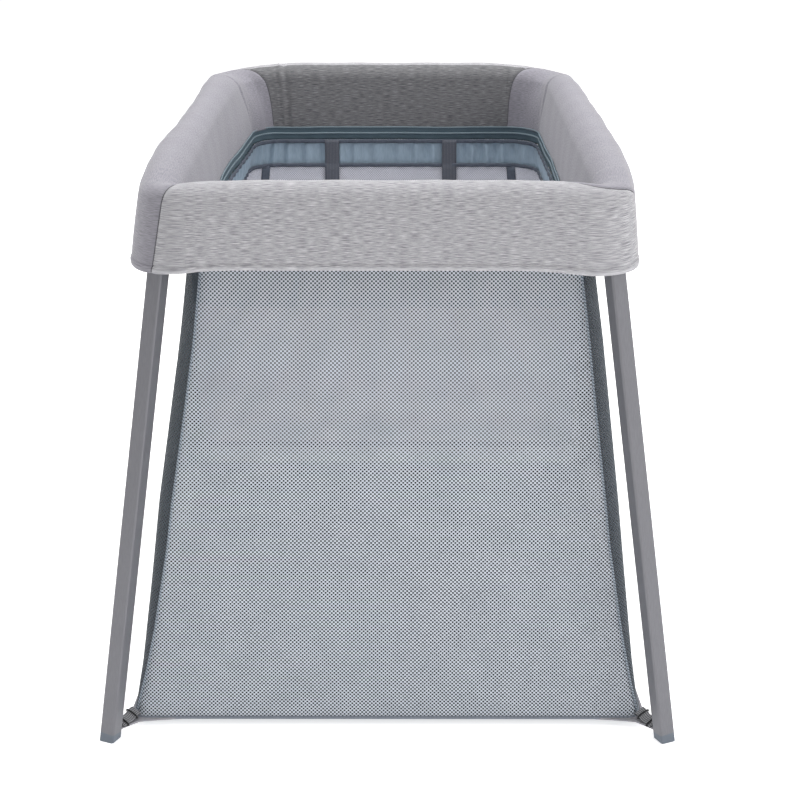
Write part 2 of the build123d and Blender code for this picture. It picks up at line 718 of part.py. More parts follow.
def make_slings():
    """Two webbing slings that run down the end walls and under the bassinet's floor."""
    lining = bassinet_ring(BASSINET_FLOOR_HEIGHT, SKIRT_BOTTOM, BASSINET_WALL, SLING_THICKNESS)
    # up past the skirt they hang straight, inside its folds
    folds = SKIRT_SET_IN + SKIRT_THICKNESS + SKIRT_FOLD_DEPTH / 2 + SOFT_CLEARANCE
    outside = (2 * (OPENING_X - folds), 2 * (OPENING_Y - folds), BASSINET_RADIUS - folds)
    with BuildPart() as slings:
        add(lining)
        add(ring_wall((SKIRT_BOTTOM, *outside), (SKIRT_TOP, *outside), SLING_THICKNESS))
        with BuildSketch():
            with GridLocations(SLING_SPACING, 1, 2, 1):
                Rectangle(SLING_WIDTH, 2 * RIM_LENGTH)
        extrude(amount=HEIGHT, mode=Mode.INTERSECT)
        with BuildSketch(Plane.XY.offset(BASSINET_FLOOR_HEIGHT - FLOOR_BOARD)):
            with GridLocations(SLING_SPACING, 1, 2, 1):
                Rectangle(SLING_WIDTH, BASSINET_FLOOR_LENGTH)
        extrude(amount=-SLING_THICKNESS)
    return slings.part


def make_zip_slider():
    """Slider with a finger loop, on the zip at the left of the bassinet near the front."""
    x = -OPENING_X + ZIP_THICKNESS + SIDE_CLEARANCE
    face = Plane((x, -SLIDER_PLACE, ZIP_LINE), x_dir=(0, 1, 0), z_dir=(1, 0, 0))
    with BuildPart() as slider:
        with BuildSketch(face):
            RectangleRounded(SLIDER_LENGTH, SLIDER_HEIGHT, SLIDER_EDGE)
        extrude(amount=SLIDER_THICKNESS)
        with BuildSketch(face.offset(SLIDER_THICKNESS - PULL_THICKNESS)):
            with Locations((0, -PULL_LENGTH / 2)):
                SlotOverall(PULL_LENGTH, PULL_WIDTH, rotation=90)
            with Locations((0, -PULL_EYE_DROP)):
                Circle(PULL_EYE_RADIUS, mode=Mode.SUBTRACT)
        extrude(amount=PULL_THICKNESS)
    return slider.part


def main():
    os.makedirs("parts", exist_ok=True)
    whole_mesh = mesh_wall()
    mesh_corner = (MESH_BASE_WIDTH / 2, MESH_BASE_LENGTH / 2)
    for end_name, end in ENDS.items():
        for side_name, side in SIDES.items():
            save(make_leg(side, end), f"{end_name}_{side_name}_leg")
            save(make_corner(side, end), f"{end_name}_{side_name}_corner_fitting")
        save(make_feet(end), f"{end_name}_feet")
        save(make_end_rail(end), f"{end_name}_end_rail")
        save(make_corner_pins(end), f"{end_name}_corner_pins")
        save(make_leg_rivets(end), f"{end_name}_leg_rivets")
        save(make_end_cover(end), f"{end_name}_rim_cover")
        save(make_corner_covers(end), f"{end_name}_rim_corners")
        save(mitred_panel(whole_mesh, *mesh_corner, (0, end)), f"{end_name}_mesh_panel")
        save(make_base_straps(end), f"{end_name}_base_straps")
        save(make_strap_loops(end), f"{end_name}_strap_loops")
    for side_name, side in SIDES.items():
        for half_name, half in HALVES.items():
            save(make_side_rail(side, half), f"{side_name}_{half_name}_rail")
            save(make_rail_end(side, half), f"{side_name}_{half_name}_rail_end")
            save(make_side_cover(side, half), f"{side_name}_{half_name}_rim_cover")
        save(make_hinge_fork(side), f"{side_name}_hinge_fork")
        save(make_hinge_tongue(side), f"{side_name}_hinge_tongue")
        save(make_hinge_pin(side), f"{side_name}_hinge_pin")
        save(make_latch_button(side), f"{side_name}_latch_button")
        save(mitred_panel(whole_mesh, *mesh_corner, (side, 0)), f"{side_name}_mesh_panel")
    save(make_base_panel(), "base_panel")
    whole_bassinet = bassinet_ring(BASSINET_FLOOR_HEIGHT, SKIRT_BOTTOM, 0.0, BASSINET_WALL)
    bassinet_corner = (BASSINET_FLOOR_WIDTH / 2, BASSINET_FLOOR_LENGTH / 2)
    for end_name, end in ENDS.items():
        save(mitred_panel(whole_bassinet, *bassinet_corner, (0, end)), f"bassinet_{end_name}_wall")
    for side_name, side in SIDES.items():
        save(mitred_panel(whole_bassinet, *bassinet_corner, (side, 0)), f"bassinet_{side_name}_wall")
    save(make_skirt(), "bassinet_skirt")
    save(make_zip_tape(ZIP_LINE - ZIP_TAPE), "bassinet_zip_tape")
    save(make_zip_tape(ZIP_LINE), "rim_zip_tape")
    save(make_bassinet_floor(), "bassinet_floor")
    save(make_mattress(), "bassinet_mattress")
    save(make_slings(), "bassinet_slings")
    save(make_zip_slider(), "zip_slider")


main()
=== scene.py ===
"""Looks of the folding travel cot with its zip-in bassinet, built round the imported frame, in metres."""

import bmesh
import bpy
import numpy as np
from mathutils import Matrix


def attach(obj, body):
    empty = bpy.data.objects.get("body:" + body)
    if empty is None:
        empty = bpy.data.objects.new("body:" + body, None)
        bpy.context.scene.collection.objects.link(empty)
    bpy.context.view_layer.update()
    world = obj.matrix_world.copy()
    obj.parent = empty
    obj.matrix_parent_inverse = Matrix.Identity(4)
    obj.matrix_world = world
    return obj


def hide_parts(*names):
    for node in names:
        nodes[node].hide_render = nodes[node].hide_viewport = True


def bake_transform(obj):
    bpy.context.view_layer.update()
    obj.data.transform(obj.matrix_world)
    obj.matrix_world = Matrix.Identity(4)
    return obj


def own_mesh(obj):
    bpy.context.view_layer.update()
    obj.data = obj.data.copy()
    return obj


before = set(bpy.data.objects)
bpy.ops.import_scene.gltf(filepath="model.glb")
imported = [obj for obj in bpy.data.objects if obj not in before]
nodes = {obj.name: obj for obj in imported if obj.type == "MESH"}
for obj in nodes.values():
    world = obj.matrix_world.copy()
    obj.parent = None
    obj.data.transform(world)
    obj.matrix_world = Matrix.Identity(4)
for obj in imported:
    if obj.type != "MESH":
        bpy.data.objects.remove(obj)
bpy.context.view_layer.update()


# Legs: four square tubes of extruded aluminium, turned so that an edge faces the end of the cot.
# They are satin anodised in grey, pushed into the corner fittings and riveted there.
CORNERS = ("front_left", "front_right", "back_left", "back_right")


def linear(code):
    """Linear colour of an sRGB hex code: a channel c is c / 12.92 up to 0.04045, else ((c + 0.055) / 1.055) ** 2.4."""
    c = np.array([int(code[k : k + 2], 16) for k in (1, 3, 5)]) / 255
    return (*np.where(c <= 0.04045, c / 12.92, ((c + 0.055) / 1.055) ** 2.4), 1.0)


def add(tree, kind, inputs=None, out=0, stops=None, **settings):
    """Adds a shader node with its properties and colour stops, sets each named input or links it to a given socket, and
    gives one of the outputs. The first two stops move the ramp's own two, and more are added."""
    made = tree.nodes.new("ShaderNode" + kind)
    for name, value in settings.items():
        setattr(made, name, value)
    for name, value in (inputs or {}).items():
        if isinstance(value, bpy.types.NodeSocket):
            tree.links.new(value, made.inputs[name])
        else:
            made.inputs[name].default_value = value
    for k, (at, code) in enumerate((stops or {}).items()):
        stop = made.color_ramp.elements[k] if k < 2 else made.color_ramp.elements.new(at)
        stop.position, stop.color = at, linear(code)
    return made.outputs[out] if made.outputs else None


def new_finish(name, coordinates):
    """An empty material, its node tree, and the coordinates that its patterns are drawn in."""
    material = bpy.data.materials.new(name)
    material.use_nodes = True
    material.node_tree.nodes.clear()
    return material, material.node_tree, add(material.node_tree, "TexCoord", out=coordinates)


def streaks(tree, place, sizes, detail, roughness=0.5, shift=(0, 0, 0)):
    """Noise drawn out into streaks of the given sizes in metres."""
    at = add(tree, "Mapping", {"Vector": place, "Scale": 1 / np.array(sizes), "Location": shift})
    return add(tree, "TexNoise", {"Vector": at, "Scale": 1.0, "Detail": detail, "Roughness": roughness})


def surface(tree, pattern, tones, sockets, relief=None, strength=0.0, depth=0.0):
    """Ends a finish: a pattern that runs through its tones, or a colour that has none, goes to a shader with its other
    sockets and the bumps of a relief, and the shader to the output."""
    if tones:
        stops = tones if isinstance(tones, dict) else dict(enumerate(tones))
        pattern = add(tree, "ValToRGB", {"Fac": pattern}, stops=stops)
    if relief is not None:
        bump = add(tree, "Bump", {"Height": relief, "Strength": strength, "Distance": depth})
        sockets = {**sockets, "Normal": bump}
    add(tree, "OutputMaterial", {"Surface": add(tree, "BsdfPrincipled", {"Base Color": pattern, **sockets})})


def dress(material, *names):
    """Puts a material on CAD nodes that stay in view."""
    for name in names:
        nodes[name].data.materials.clear()
        nodes[name].data.materials.append(material)


# drawn tube: fine die lines run up the leg, and the etched skin spreads its highlight; the lines are drawn
# 1.2 mm wide, coarser than real ones, to show
anodised_aluminium, tree, place = new_finish("satin_anodised_aluminium", "Object")
lines = streaks(tree, place, (0.0012, 0.0012, 0.25), detail=3.0)
rough = add(tree, "MapRange", {"Value": lines, "To Min": 0.42, "To Max": 0.55})
surface(tree, lines, ("#6c6c71", "#7f7f84"), {"Metallic": 0.35, "Roughness": rough}, relief=lines, strength=0.15,
        depth=0.0002)
dress(anodised_aluminium, *(corner + "_leg" for corner in CORNERS))


# Foot caps: polypropylene plugs in the leg ends, cut level with the floor.
# They are injection moulded in a blue grey with a fine spark-eroded skin.


def moulded(name, tones, pit, strength, roughness, index, cloud=None):
    """A moulded plastic: a skin of pits, of a size in metres, gives its bumps. The skin, or a larger cloud where there
    is one, gives its tone."""
    material, tree, place = new_finish(name, "Object")
    skin = add(tree, "TexNoise", {"Vector": place, "Scale": 1 / pit, "Detail": 2.0})
    tint = add(tree, "TexNoise", {"Vector": place, "Scale": 1 / cloud, "Detail": 1.0}) if cloud else skin
    surface(tree, tint, tones, {"Roughness": roughness, "IOR": index}, relief=skin, strength=strength, depth=0.0002)
    return material


# moulded plastic: a faint cloud in the colour, and a skin of fine pits that keeps the gloss low; the pits, here
# and on the other mouldings, are 0.7 to 0.9 mm across, coarser than real ones, to show
moulded_polypropylene = moulded("moulded_blue_grey_polypropylene", ("#5d656f", "#6a727d"), pit=0.0009, strength=0.25,
                                roughness=0.55, index=1.49, cloud=0.02)
dress(moulded_polypropylene, "front_feet", "back_feet")


# Corner fittings, hinge blocks, rail ends and strap loops: black glass-filled nylon mouldings.
# The fittings take the leg and the end rail, and the hinge blocks are plugged into the side rails.
HALVES = ("left_front", "left_rear", "right_front", "right_rear")

# glass-filled nylon: fibres at the skin mottle the black and break its gloss
moulded_nylon = moulded("moulded_black_nylon", ("#17181a", "#26272a"), pit=0.0008, strength=0.3,
                        roughness=0.48, index=1.53)
dress(moulded_nylon, *(corner + "_corner_fitting" for corner in CORNERS), *(half + "_rail_end" for half in HALVES),
      "left_hinge_fork", "left_hinge_tongue", "right_hinge_fork", "right_hinge_tongue", "front_strap_loops",
      "back_strap_loops")


# Rails: aluminium tubes under the cover, one at each end and two halves along each side.
# They are left with the mill finish of the extrusion, because the cover hides them.


def marked_metal(name, tones, grain, detail, roughness, metallic=1.0):
    """A metal whose marks, of a size in metres, vary its tone and its roughness between two values each."""
    material, tree, place = new_finish(name, "Object")
    marks = add(tree, "TexNoise", {"Vector": place, "Scale": 1 / grain, "Detail": detail})
    rough = add(tree, "MapRange", {"Value": marks, "To Min": roughness[0], "To Max": roughness[1]})
    surface(tree, marks, tones, {"Metallic": metallic, "Roughness": rough})
    return material


# mill finish: scuffs about 6 mm long, brighter where they are smooth
mill_aluminium = marked_metal("mill_finish_aluminium", ("#a6a7aa", "#bdbec1"), grain=0.006, detail=4.0,
                              roughness=(0.28, 0.45))
dress(mill_aluminium, "front_end_rail", "back_end_rail", *(half + "_rail" for half in HALVES))


# Pins and rivets: zinc-plated steel, turned and pressed in.
# The plating is bright with a faint yellow, and its turning marks are drawn coarser than real ones, to show.
plated_steel = marked_metal("zinc_plated_steel", ("#b4b3ae", "#cbcac6"), grain=0.0012, detail=3.0,
                            roughness=(0.2, 0.36))
dress(plated_steel, "front_corner_pins", "back_corner_pins", "front_leg_rivets", "back_leg_rivets",
      "left_hinge_pin", "right_hinge_pin")


# Release buttons: grey ABS caps in the middle hinges, pushed in through the cover to fold the cot.
# They are moulded with a fine matt skin.
moulded_abs = moulded("moulded_grey_abs", ("#5f6266", "#6c6f73"), pit=0.0007, strength=0.2, roughness=0.42, index=1.54)
dress(moulded_abs, "left_latch_button", "right_latch_button")


# End covers: foam-backed jersey over each end rail, from corner seam to corner seam.
# The outside is a pale melange whose yarns run across, and the inside is a darker melange, partly a darker lining and
# partly painted shade inside the cot.
ENDS, SIDES = ((-1, "front"), (1, "back")), ((-1, "left"), (1, "right"))
BEND_X, BEND_Y, BEND_RADIUS = 0.253, 0.428, 0.042
BEND_END = BEND_X + BEND_RADIUS * np.pi / 2
HEM, OUTSIDE, CROWN, INSIDE = 0.657, 0.081, 0.027, 0.081
INNER_START = OUTSIDE + CROWN * np.pi
COVER_GIRTH = INNER_START + INSIDE
COVER_LEAN, FOAM, FOAM_CROWN, COVER_FILL = 0.003, 0.0065, 0.0115, 0.75
SEAM_DEPTH, SEAM_WIDTH, SEAM_BEAD = 0.0018, 0.003, 0.0007
FLARE, CROWN_EASE, PLUMP, HEM_ROLL, RIPPLE = 0.0045, 0.0015, 0.0015, 0.0011, 0.0006
DARK_INSIDE_TURN, TUCK_TURN = 1.9, 1.2
OPEN_X, OPEN_Y, OPEN_RADIUS = 0.265, 0.440, 0.060
# slack of the side covers in mm at five places from front to back, left and right
SLACK_PLACES, SIDE_SLACK = np.linspace(-0.4, 0.4, 5), ([0.0, 3.0, -4.0, -7.5, -5.5], [1.0, 4.2, 2.5, -2.0, -6.0])


def ease(share):
    """Smooth step: 3a^2 - 2a^3 of a share held between 0 and 1."""
    share = np.clip(share, 0, 1)
    return share * share * (3 - 2 * share)


def bell(at, middle, width):
    """Bell curve of height 1: e to the minus square of the distance from the middle in widths."""
    return np.exp(-(((at - middle) / width) ** 2))


def seam_place(s, side, end):
    """Where a corner seam crosses the cover: far out on the outer wall, then an S to well in on the inner one, as one
    over one plus a power of e. At the front left the S lies behind the crown, and at the front right it starts round
    the corner and runs along the crown."""
    reach, middle, width = (np.where(end > 0, back, np.where(side > 0, front_right, front_left))
                            for back, front_right, front_left in (
                                (0.0775, 0.110, 0.0595), (0.124, 0.116, 0.150), (0.018, 0.010, 0.007)))
    splay = np.where((end < 0) & (side < 0), 0.0115, 0.0) * np.clip(1 - s / 0.13, 0, 1)
    inmost = np.where((end > 0) & (side < 0), 0.222, 0.208)
    return inmost + splay + reach / (1 + np.exp((s - middle) / width))


def sway(side, y):
    """How far the soft inner hem leans into the opening: a constant and smooth steps along the cot, more at the back
    and on the left."""
    left = 0.0075 + 0.0205 * ease((y - 0.05) / 0.40) + 0.0025 * ease(-y / 0.3)
    right = 0.005 + 0.005 * ease((y - 0.1) / 0.34)
    return np.where(side < 0, left, right)


def soft_table(place, knots, values):
    """Values at knots, with a smooth step from each to the next."""
    at = np.interp(place, knots, np.arange(len(knots)))
    before = np.minimum(at.astype(int), len(knots) - 2)
    values = np.array(values)
    return values[before] + (values[before + 1] - values[before]) * ease(at - before)


def tuck(x, y, side, end, weight):
    """Draws points of one quarter in towards the opening's outline: past a corner of larger radius they slide towards
    its centre, and along a side they follow the sway. x and y are positive, and weight is the share of the way."""
    u, v = x - OPEN_X + OPEN_RADIUS, y - OPEN_Y + OPEN_RADIUS
    far = np.hypot(u, v)
    pull = np.where((u > 0) & (v > 0), weight * np.maximum(far - OPEN_RADIUS, 0) / np.maximum(far, 1e-9), 0)
    inward = weight * sway(side, end * y) * np.clip(x / OPEN_X, 0, 1) ** 3
    return x - pull * u - inward, y - pull * v


def cover_point(q, s, side, end, inside):
    """A padded section carried along the rim. The section at s goes up the outer wall, over a half-round crown and down
    the inner wall; q runs from the middle of an end, round the corner and along the side. The wadding is slack at the
    corners, where the hem flares and sags and the crown sinks, and along the sides. The foam's inner face is the same
    section, smaller and unmoved. Gives x, y and z with the signs of side and end."""
    up, turn = np.clip(s, 0, OUTSIDE), np.clip((s - OUTSIDE) / CROWN, 0, np.pi)
    down = np.clip(s - INNER_START, 0, INSIDE)
    lean = COVER_LEAN * (1 - up / OUTSIDE) - COVER_LEAN * down / INSIDE
    onward = np.maximum(q - BEND_END, 0)
    left, right = (soft_table(end * (BEND_Y - onward), SLACK_PLACES, slack) for slack in SIDE_SLACK)
    slack = 0.001 * np.where(side < 0, left, right) * ease((q - 0.33) / 0.07) * (1 + np.cos(turn)) / 2
    height = HEM + up - down
    if inside:
        offset = (CROWN - FOAM + 0.6 * np.minimum(slack, 0)) * np.cos(turn) + lean
        height = height + FOAM_CROWN * np.sin(turn)
    else:
        corner = bell(q, 0.298, np.where(end > 0, 0.068, 0.055))
        sunk = np.where(end > 0, -0.0125, -0.0075)
        flared = np.where((side > 0) & (end < 0), 0.0, FLARE)
        flare = np.where(s < OUTSIDE, flared + (sunk + CROWN_EASE - flared) * up / OUTSIDE,
                         sunk + CROWN_EASE - CROWN_EASE * np.sin(turn))
        flare = flare * corner * (1 - ease(down / INSIDE))
        plump = PLUMP * np.sin(np.pi * up / OUTSIDE) * (1 - corner) + PLUMP * np.sin(np.pi * down / INSIDE)
        rolled = HEM_ROLL * bell(s, 0.0042, 0.0026) - HEM_ROLL * bell(s, 0.0088, 0.0011)
        slope = (seam_place(s + 0.001, side, end) - seam_place(s - 0.001, side, end)) / 0.002
        seam = SEAM_DEPTH * bell(q, seam_place(s, side, end), SEAM_WIDTH * np.hypot(1, slope))
        ripple = RIPPLE * np.sin(41 * q + 17 * s) * np.sin(23 * q - 31 * s + 1.3)
        crease = 0.0013 * bell(q, 0.196, 0.004) - 0.0024 * bell(q, 0.187, 0.0045)
        crease = crease * ease((turn - TUCK_TURN) / 0.5) * ((side < 0) & (end > 0))
        proud = flare + plump + rolled - seam + ripple + slack + crease
        offset = (CROWN + proud) * np.cos(turn) + lean
        sag = np.where(side > 0, 0.0085, 0.0065) * bell(q, 0.285, np.where(side > 0, 0.065, 0.04))
        height = height + (CROWN + proud) * np.sin(turn) - np.where(end < 0, sag, 0.6 * sag) * (1 - up / OUTSIDE)
    bend = np.clip((q - BEND_X) / BEND_RADIUS, 0, np.pi / 2)
    x = np.minimum(q, BEND_X) + (BEND_RADIUS + offset) * np.sin(bend)
    y = BEND_Y + (BEND_RADIUS + offset) * np.cos(bend) - onward
    if not inside:
        x, y = tuck(x, y, side, end, ease(0.5 * (turn - TUCK_TURN) / (np.pi - TUCK_TURN) + 0.5 * down / INSIDE))
    return side * x, end * y, height


def new_piece(name, points, faces, places=None, material=None):
    """An object from points and faces, smooth, with the flat cloth's own metres as its UV map where they are given."""
    mesh = bpy.data.meshes.new(name)
    mesh.from_pydata(points, [], faces)
    mesh.shade_smooth()
    if places is not None:
        layer = mesh.uv_layers.new(name="cloth")
        layer.data.foreach_set("uv", places.astype(np.float32).ravel())
    mesh.materials.append(material)
    piece = bpy.data.objects.new(name, mesh)
    bpy.context.scene.collection.objects.link(piece)
    return piece


def grid_cells(rows, columns, flip, wrap=False):
    """Corner rows and columns of every cell of a grid, and the point that each corner uses; wrap closes the columns."""
    i, j = np.meshgrid(np.arange(rows - 1), np.arange(columns if wrap else columns - 1), indexing="ij")
    row, column = np.stack([i, i, i + 1, i + 1], -1), np.stack([j, j + 1, j + 1, j], -1)
    if flip:
        row, column = row[..., ::-1], column[..., ::-1]
    return row.reshape(-1, 4), column.reshape(-1, 4), (row * columns + column % columns).reshape(-1, 4)


def cover_piece(name, q, s, side, end, flip, material):
    """A length of padded cover: the outer skin, the foam's inner face and the two cut ends, over a grid of q by s.
    side and end are the signs of x and y at each point."""
    skin, foam = cover_point(q, s, side, end, False), cover_point(q, s, side, end, True)
    both = np.stack([np.concatenate([a, b[:, ::-1]], 1) for a, b in zip(skin, foam)], -1)
    rows, columns = both.shape[:2]
    row, column, faces = grid_cells(rows, columns, flip, wrap=True)
    j = np.arange(columns // 2 - 1)
    cut = np.stack([j, j + 1, columns - 2 - j, columns - 1 - j], -1)
    first, last = cut[:, ::-1], cut + (rows - 1) * columns
    if flip:
        first, last = first[:, ::-1], last[:, ::-1]
    run = side * q
    run = np.concatenate([run, run[:, ::-1], run[:, :1]], 1)
    girth_at = np.concatenate([s, 2 * COVER_GIRTH - s[:, ::-1], s[:, :1] + 2 * COVER_GIRTH], 1)
    places = np.stack([run[row, column], girth_at[row, column]], -1).reshape(-1, 2)
    ends = np.concatenate([first, last]).ravel()
    ends_at = np.stack([run[:, :columns].ravel()[ends], girth_at[:, :columns].ravel()[ends]], -1)
    piece = new_piece(name, both.reshape(-1, 3), np.concatenate([faces, first, last]),
                      np.concatenate([places, ends_at]), material)
    piece.data.polygons.foreach_set("use_smooth", np.arange(len(faces) + 2 * len(j)) < len(faces))
    return piece


def declare_cover(piece, *stands_for):
    """Hides the CAD nodes that a padded length of the cover stands for; the piece itself is not used."""
    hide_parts(*stands_for)


def run_along(path):
    """Distance from the start of a path to each of its points."""
    return np.concatenate([[0], np.cumsum(np.linalg.norm(np.diff(path, axis=0), axis=1))])


def bead_piece(name, path, radius, material, sides=10, loop=False):
    """A round bead: a circle carried along a path, square to it. Its UV is the distance along and round it."""
    ahead = np.roll(path, -1, 0) - np.roll(path, 1, 0) if loop else np.gradient(path, axis=0)
    ahead /= np.linalg.norm(ahead, axis=1, keepdims=True)
    level = np.cross(ahead, np.where(np.abs(ahead[:, 2:]) > 0.9, (1.0, 0.0, 0.0), (0.0, 0.0, 1.0)))
    level /= np.linalg.norm(level, axis=1, keepdims=True)
    lift = np.cross(level, ahead)
    angle = np.linspace(0, 2 * np.pi, sides, endpoint=False)[None, :, None]
    points = path[:, None] + radius * (np.cos(angle) * level[:, None] + np.sin(angle) * lift[:, None])
    run = run_along(np.concatenate([path, path[:1]]) if loop else path)
    row, column, faces = grid_cells(len(run), sides, True, wrap=True)
    places = np.stack([run[row], radius * 2 * np.pi * column / sides], -1).reshape(-1, 2)
    return new_piece(name, points.reshape(-1, 3), faces % (len(path) * sides), places, material)


# knitted melange: pale and dark fibres are spun together, so each row of knitting is a broken streak about
# 14 mm long and 0.7 mm high, which is a little coarser than the real yarn, to show; the rolled hem is painted
# paler, a painted highlight where its edge turns up to the light
pale_melange, tree, cloth = new_finish("pale_melange_jersey", "UV")
yarn = streaks(tree, cloth, (0.014, 0.0007, 1), detail=3.0, roughness=0.6)
slubs = streaks(tree, cloth, (0.011, 0.0007, 1), detail=1.0, shift=(7.3, 2.1, 0))
tone = add(tree, "ValToRGB", {"Fac": yarn}, stops={0.28: "#64636a", 0.72: "#d3d2d5", 0.5: "#a09fa3"})
bright = add(tree, "MapRange", {"Value": slubs, "From Min": 0.6, "From Max": 0.74, "To Max": 0.4})
colour = add(tree, "Mix", {0: bright, 6: tone, 7: linear("#c2c2c2")}, out=2, data_type="RGBA")
girth_at = add(tree, "SeparateXYZ", {"Vector": cloth}, out="Y")
# painted highlight: the first 3 to 5 mm of the girth, at the rolled hem, are mixed towards a paler grey
rolled = add(tree, "MapRange", {"Value": girth_at, "From Min": 0.003, "From Max": 0.005, "To Min": 0.25, "To Max": 0.0})
with_painted_hem_highlight = add(tree, "Mix", {0: rolled, 6: colour, 7: linear("#d2d1d6")}, out=2, data_type="RGBA")
surface(tree, with_painted_hem_highlight, None, {"Roughness": 0.92, "Sheen Weight": 0.15}, relief=yarn, strength=0.35, depth=0.0008)

# the same knitting in darker yarn, with fewer pale fibres and rows 1 mm high; on the inside of the end covers it is
# partly painted shade for the inside of the cot
inside_melange_and_shade, tree, cloth = new_finish("dark_lining_and_painted_shade", "UV")
yarn = streaks(tree, cloth, (0.014, 0.0010, 1), detail=3.0, roughness=0.6)
surface(tree, yarn, {0.3: "#48484b", 0.72: "#98989a", 0.52: "#717173"}, {"Roughness": 0.92, "Sheen Weight": 0.1},
        relief=yarn, strength=0.35, depth=0.0008)

# seam thread: dark spun polyester in stitches of 2.5 mm, sunk between two cloths; its dark colour also paints the
# shadow in the seam's groove, so a seam is a thin dark line
WAVE_PITCH = 2 * np.pi / 20  # distance between the bands of a wave texture at a scale of 1
thread_and_seam_shadow, tree, cloth = new_finish("dark_thread_and_seam_shadow", "UV")
stitch = add(tree, "TexWave", {"Vector": cloth, "Scale": WAVE_PITCH / 0.00251327}, out="Fac", bands_direction="X")
surface(tree, stitch, ("#4c4c50", "#646468"), {"Roughness": 0.9})

girth = np.concatenate([np.linspace(0, 0.012, 13), np.linspace(0.015, 0.095, 20), np.linspace(0.0975, 0.1675, 36),
                        np.linspace(0.171, COVER_GIRTH - 0.006, 18), np.linspace(COVER_GIRTH - 0.004, COVER_GIRTH, 4)])
across = np.linspace(-1, 1, 161)
across = np.sign(across) * (1 - (1 - np.abs(across)) ** 1.35)
for end, name in ENDS:
    a, s = np.meshgrid(across, girth, indexing="ij")
    sign = np.where(a < 0, -1, 1)
    q = np.abs(a) * seam_place(s, sign, end)
    piece = cover_piece(name + "_end_cover", q, s, sign, np.full_like(sign, end), end < 0, pale_melange)
    piece.data.materials.append(inside_melange_and_shade)
    # the darker melange starts just inside the crown, partly painted shade for the inside of the cot
    dark_inside = np.tile(np.arange(2 * len(girth)) >= np.searchsorted(girth, OUTSIDE + CROWN * DARK_INSIDE_TURN), len(across) - 1)
    piece.data.polygons.foreach_set("material_index", np.concatenate(
        [dark_inside, np.zeros(2 * (len(girth) - 1))]).astype(np.int32))
    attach(piece, name + "_frame")
    declare_cover(piece, name + "_rim_cover")
    for side, side_name in SIDES:
        s = np.linspace(0.001, COVER_GIRTH - 0.006, 240)
        path = np.stack(cover_point(seam_place(s, side, end), s, side, end, False), -1)
        seam = bead_piece(f"{name}_{side_name}_cover_seam", path, SEAM_BEAD, thread_and_seam_shadow, sides=6)
        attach(seam, name + "_frame")


# Side covers: a smoother jersey in lavender grey, sewn to the end covers and wrapped round the corners.
# On the cot each corner bends between the end frame and a side rail, and the middle bends at the hinge; here the corner
# pieces and the left side cover stay put, and the right side's halves ride on the rail halves.
SIDE_JOIN, RAIL_X = 0.36, 0.295
CORNER_Z, CORNER_BEND, MIDDLE_Z, MIDDLE_BEND = 0.722, (0.432, 0.382), 0.738, 0.06
CORNER_END = BEND_END + BEND_Y - SIDE_JOIN

# plain jersey: a softer melange whose rows run along the rim, in broken streaks of 9 by 1 mm, which is
# coarser than the real yarn, to show
side_jersey, tree, cloth = new_finish("lavender_grey_jersey", "UV")
yarn = streaks(tree, cloth, (0.009, 0.0010, 1), detail=3.0, roughness=0.6)
cloud = add(tree, "TexNoise", {"Vector": cloth, "Scale": 1 / 0.06, "Detail": 2.0})
tone = add(tree, "ValToRGB", {"Fac": yarn}, stops={0.25: "#66646c", 0.75: "#a4a2aa"})
soft = add(tree, "MapRange", {"Value": cloud, "From Min": 0.3, "From Max": 0.7, "To Max": 0.3})
colour = add(tree, "Mix", {0: soft, 6: tone, 7: linear("#86848c")}, out=2, data_type="RGBA")
surface(tree, colour, None, {"Roughness": 0.9, "Sheen Weight": 0.2}, relief=yarn, strength=0.25, depth=0.0006)

for side, side_name in SIDES:
    for end, name in ENDS:
        share = np.append(np.linspace(0, 0.998, 74) ** 1.2, 1.0)
        t, s = np.meshgrid(share, girth, indexing="ij")
        start = seam_place(s, side, end)
        q = start + t * (CORNER_END - start)
        piece = cover_piece(f"{name}_{side_name}_corner_cover", q, s, np.full_like(q, side), np.full_like(q, end),
                            side * end < 0, side_jersey)
        bodies = [name + "_frame", side_name + ("_front_half" if end < 0 else "_rear_half")]
        reach = [(side * RAIL_X, end * y, CORNER_Z) for y in CORNER_BEND]
        if (side, end) == (-1, 1):
            bodies, reach = bodies[::-1], reach[::-1]
        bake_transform(piece)
        declare_cover(piece, name + "_rim_corners")
    spans = [("front_and_rear", -SIDE_JOIN, SIDE_JOIN)] if side < 0 else [
        ("front", -SIDE_JOIN, 0.0), ("rear", 0.0, SIDE_JOIN)]
    for label, near, far in spans:
        steps = np.linspace(near + 0.0003, far - 0.0003, round((far - near) / 0.005))
        y, s = np.meshgrid(np.concatenate([[near], steps, [far]]), girth, indexing="ij")
        q = CORNER_END + SIDE_JOIN - np.abs(y)
        piece = cover_piece(f"{side_name}_{label}_side_cover", q, s, np.full_like(q, side), np.where(y < 0, -1, 1),
                            side > 0, side_jersey)
        if side < 0:
            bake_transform(piece)
            declare_cover(piece, "left_front_rim_cover", "left_rear_rim_cover")
        else:
            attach(piece, f"right_{label}_half")
            declare_cover(piece, f"right_{label}_rim_cover")


# Mesh wall: four panels of knitted polyester mesh from the inner hem of the cover to the floor.
# The ends wrap a little way round the corners and are sewn to the sides along slanting seams.
MESH_LOW, MESH_HIGH, MESH_TALL = 0.0100, 0.659, 0.655
MESH_FOOT, MESH_HEAD = (0.353, 0.474, 0.018), (0.2695, 0.4445, 0.036)
MESH_BOW, MESH_HOLE, MESH_SEAM, SEAM_PROUD, MESH_HEM, HEM_REACH = 0.004, 0.0054, 0.0014, 0.0012, 0.0024, 1.6
CRIB_FOLD = {"anchor": (0.0, -0.465, 0.0), "keep": 0.292}


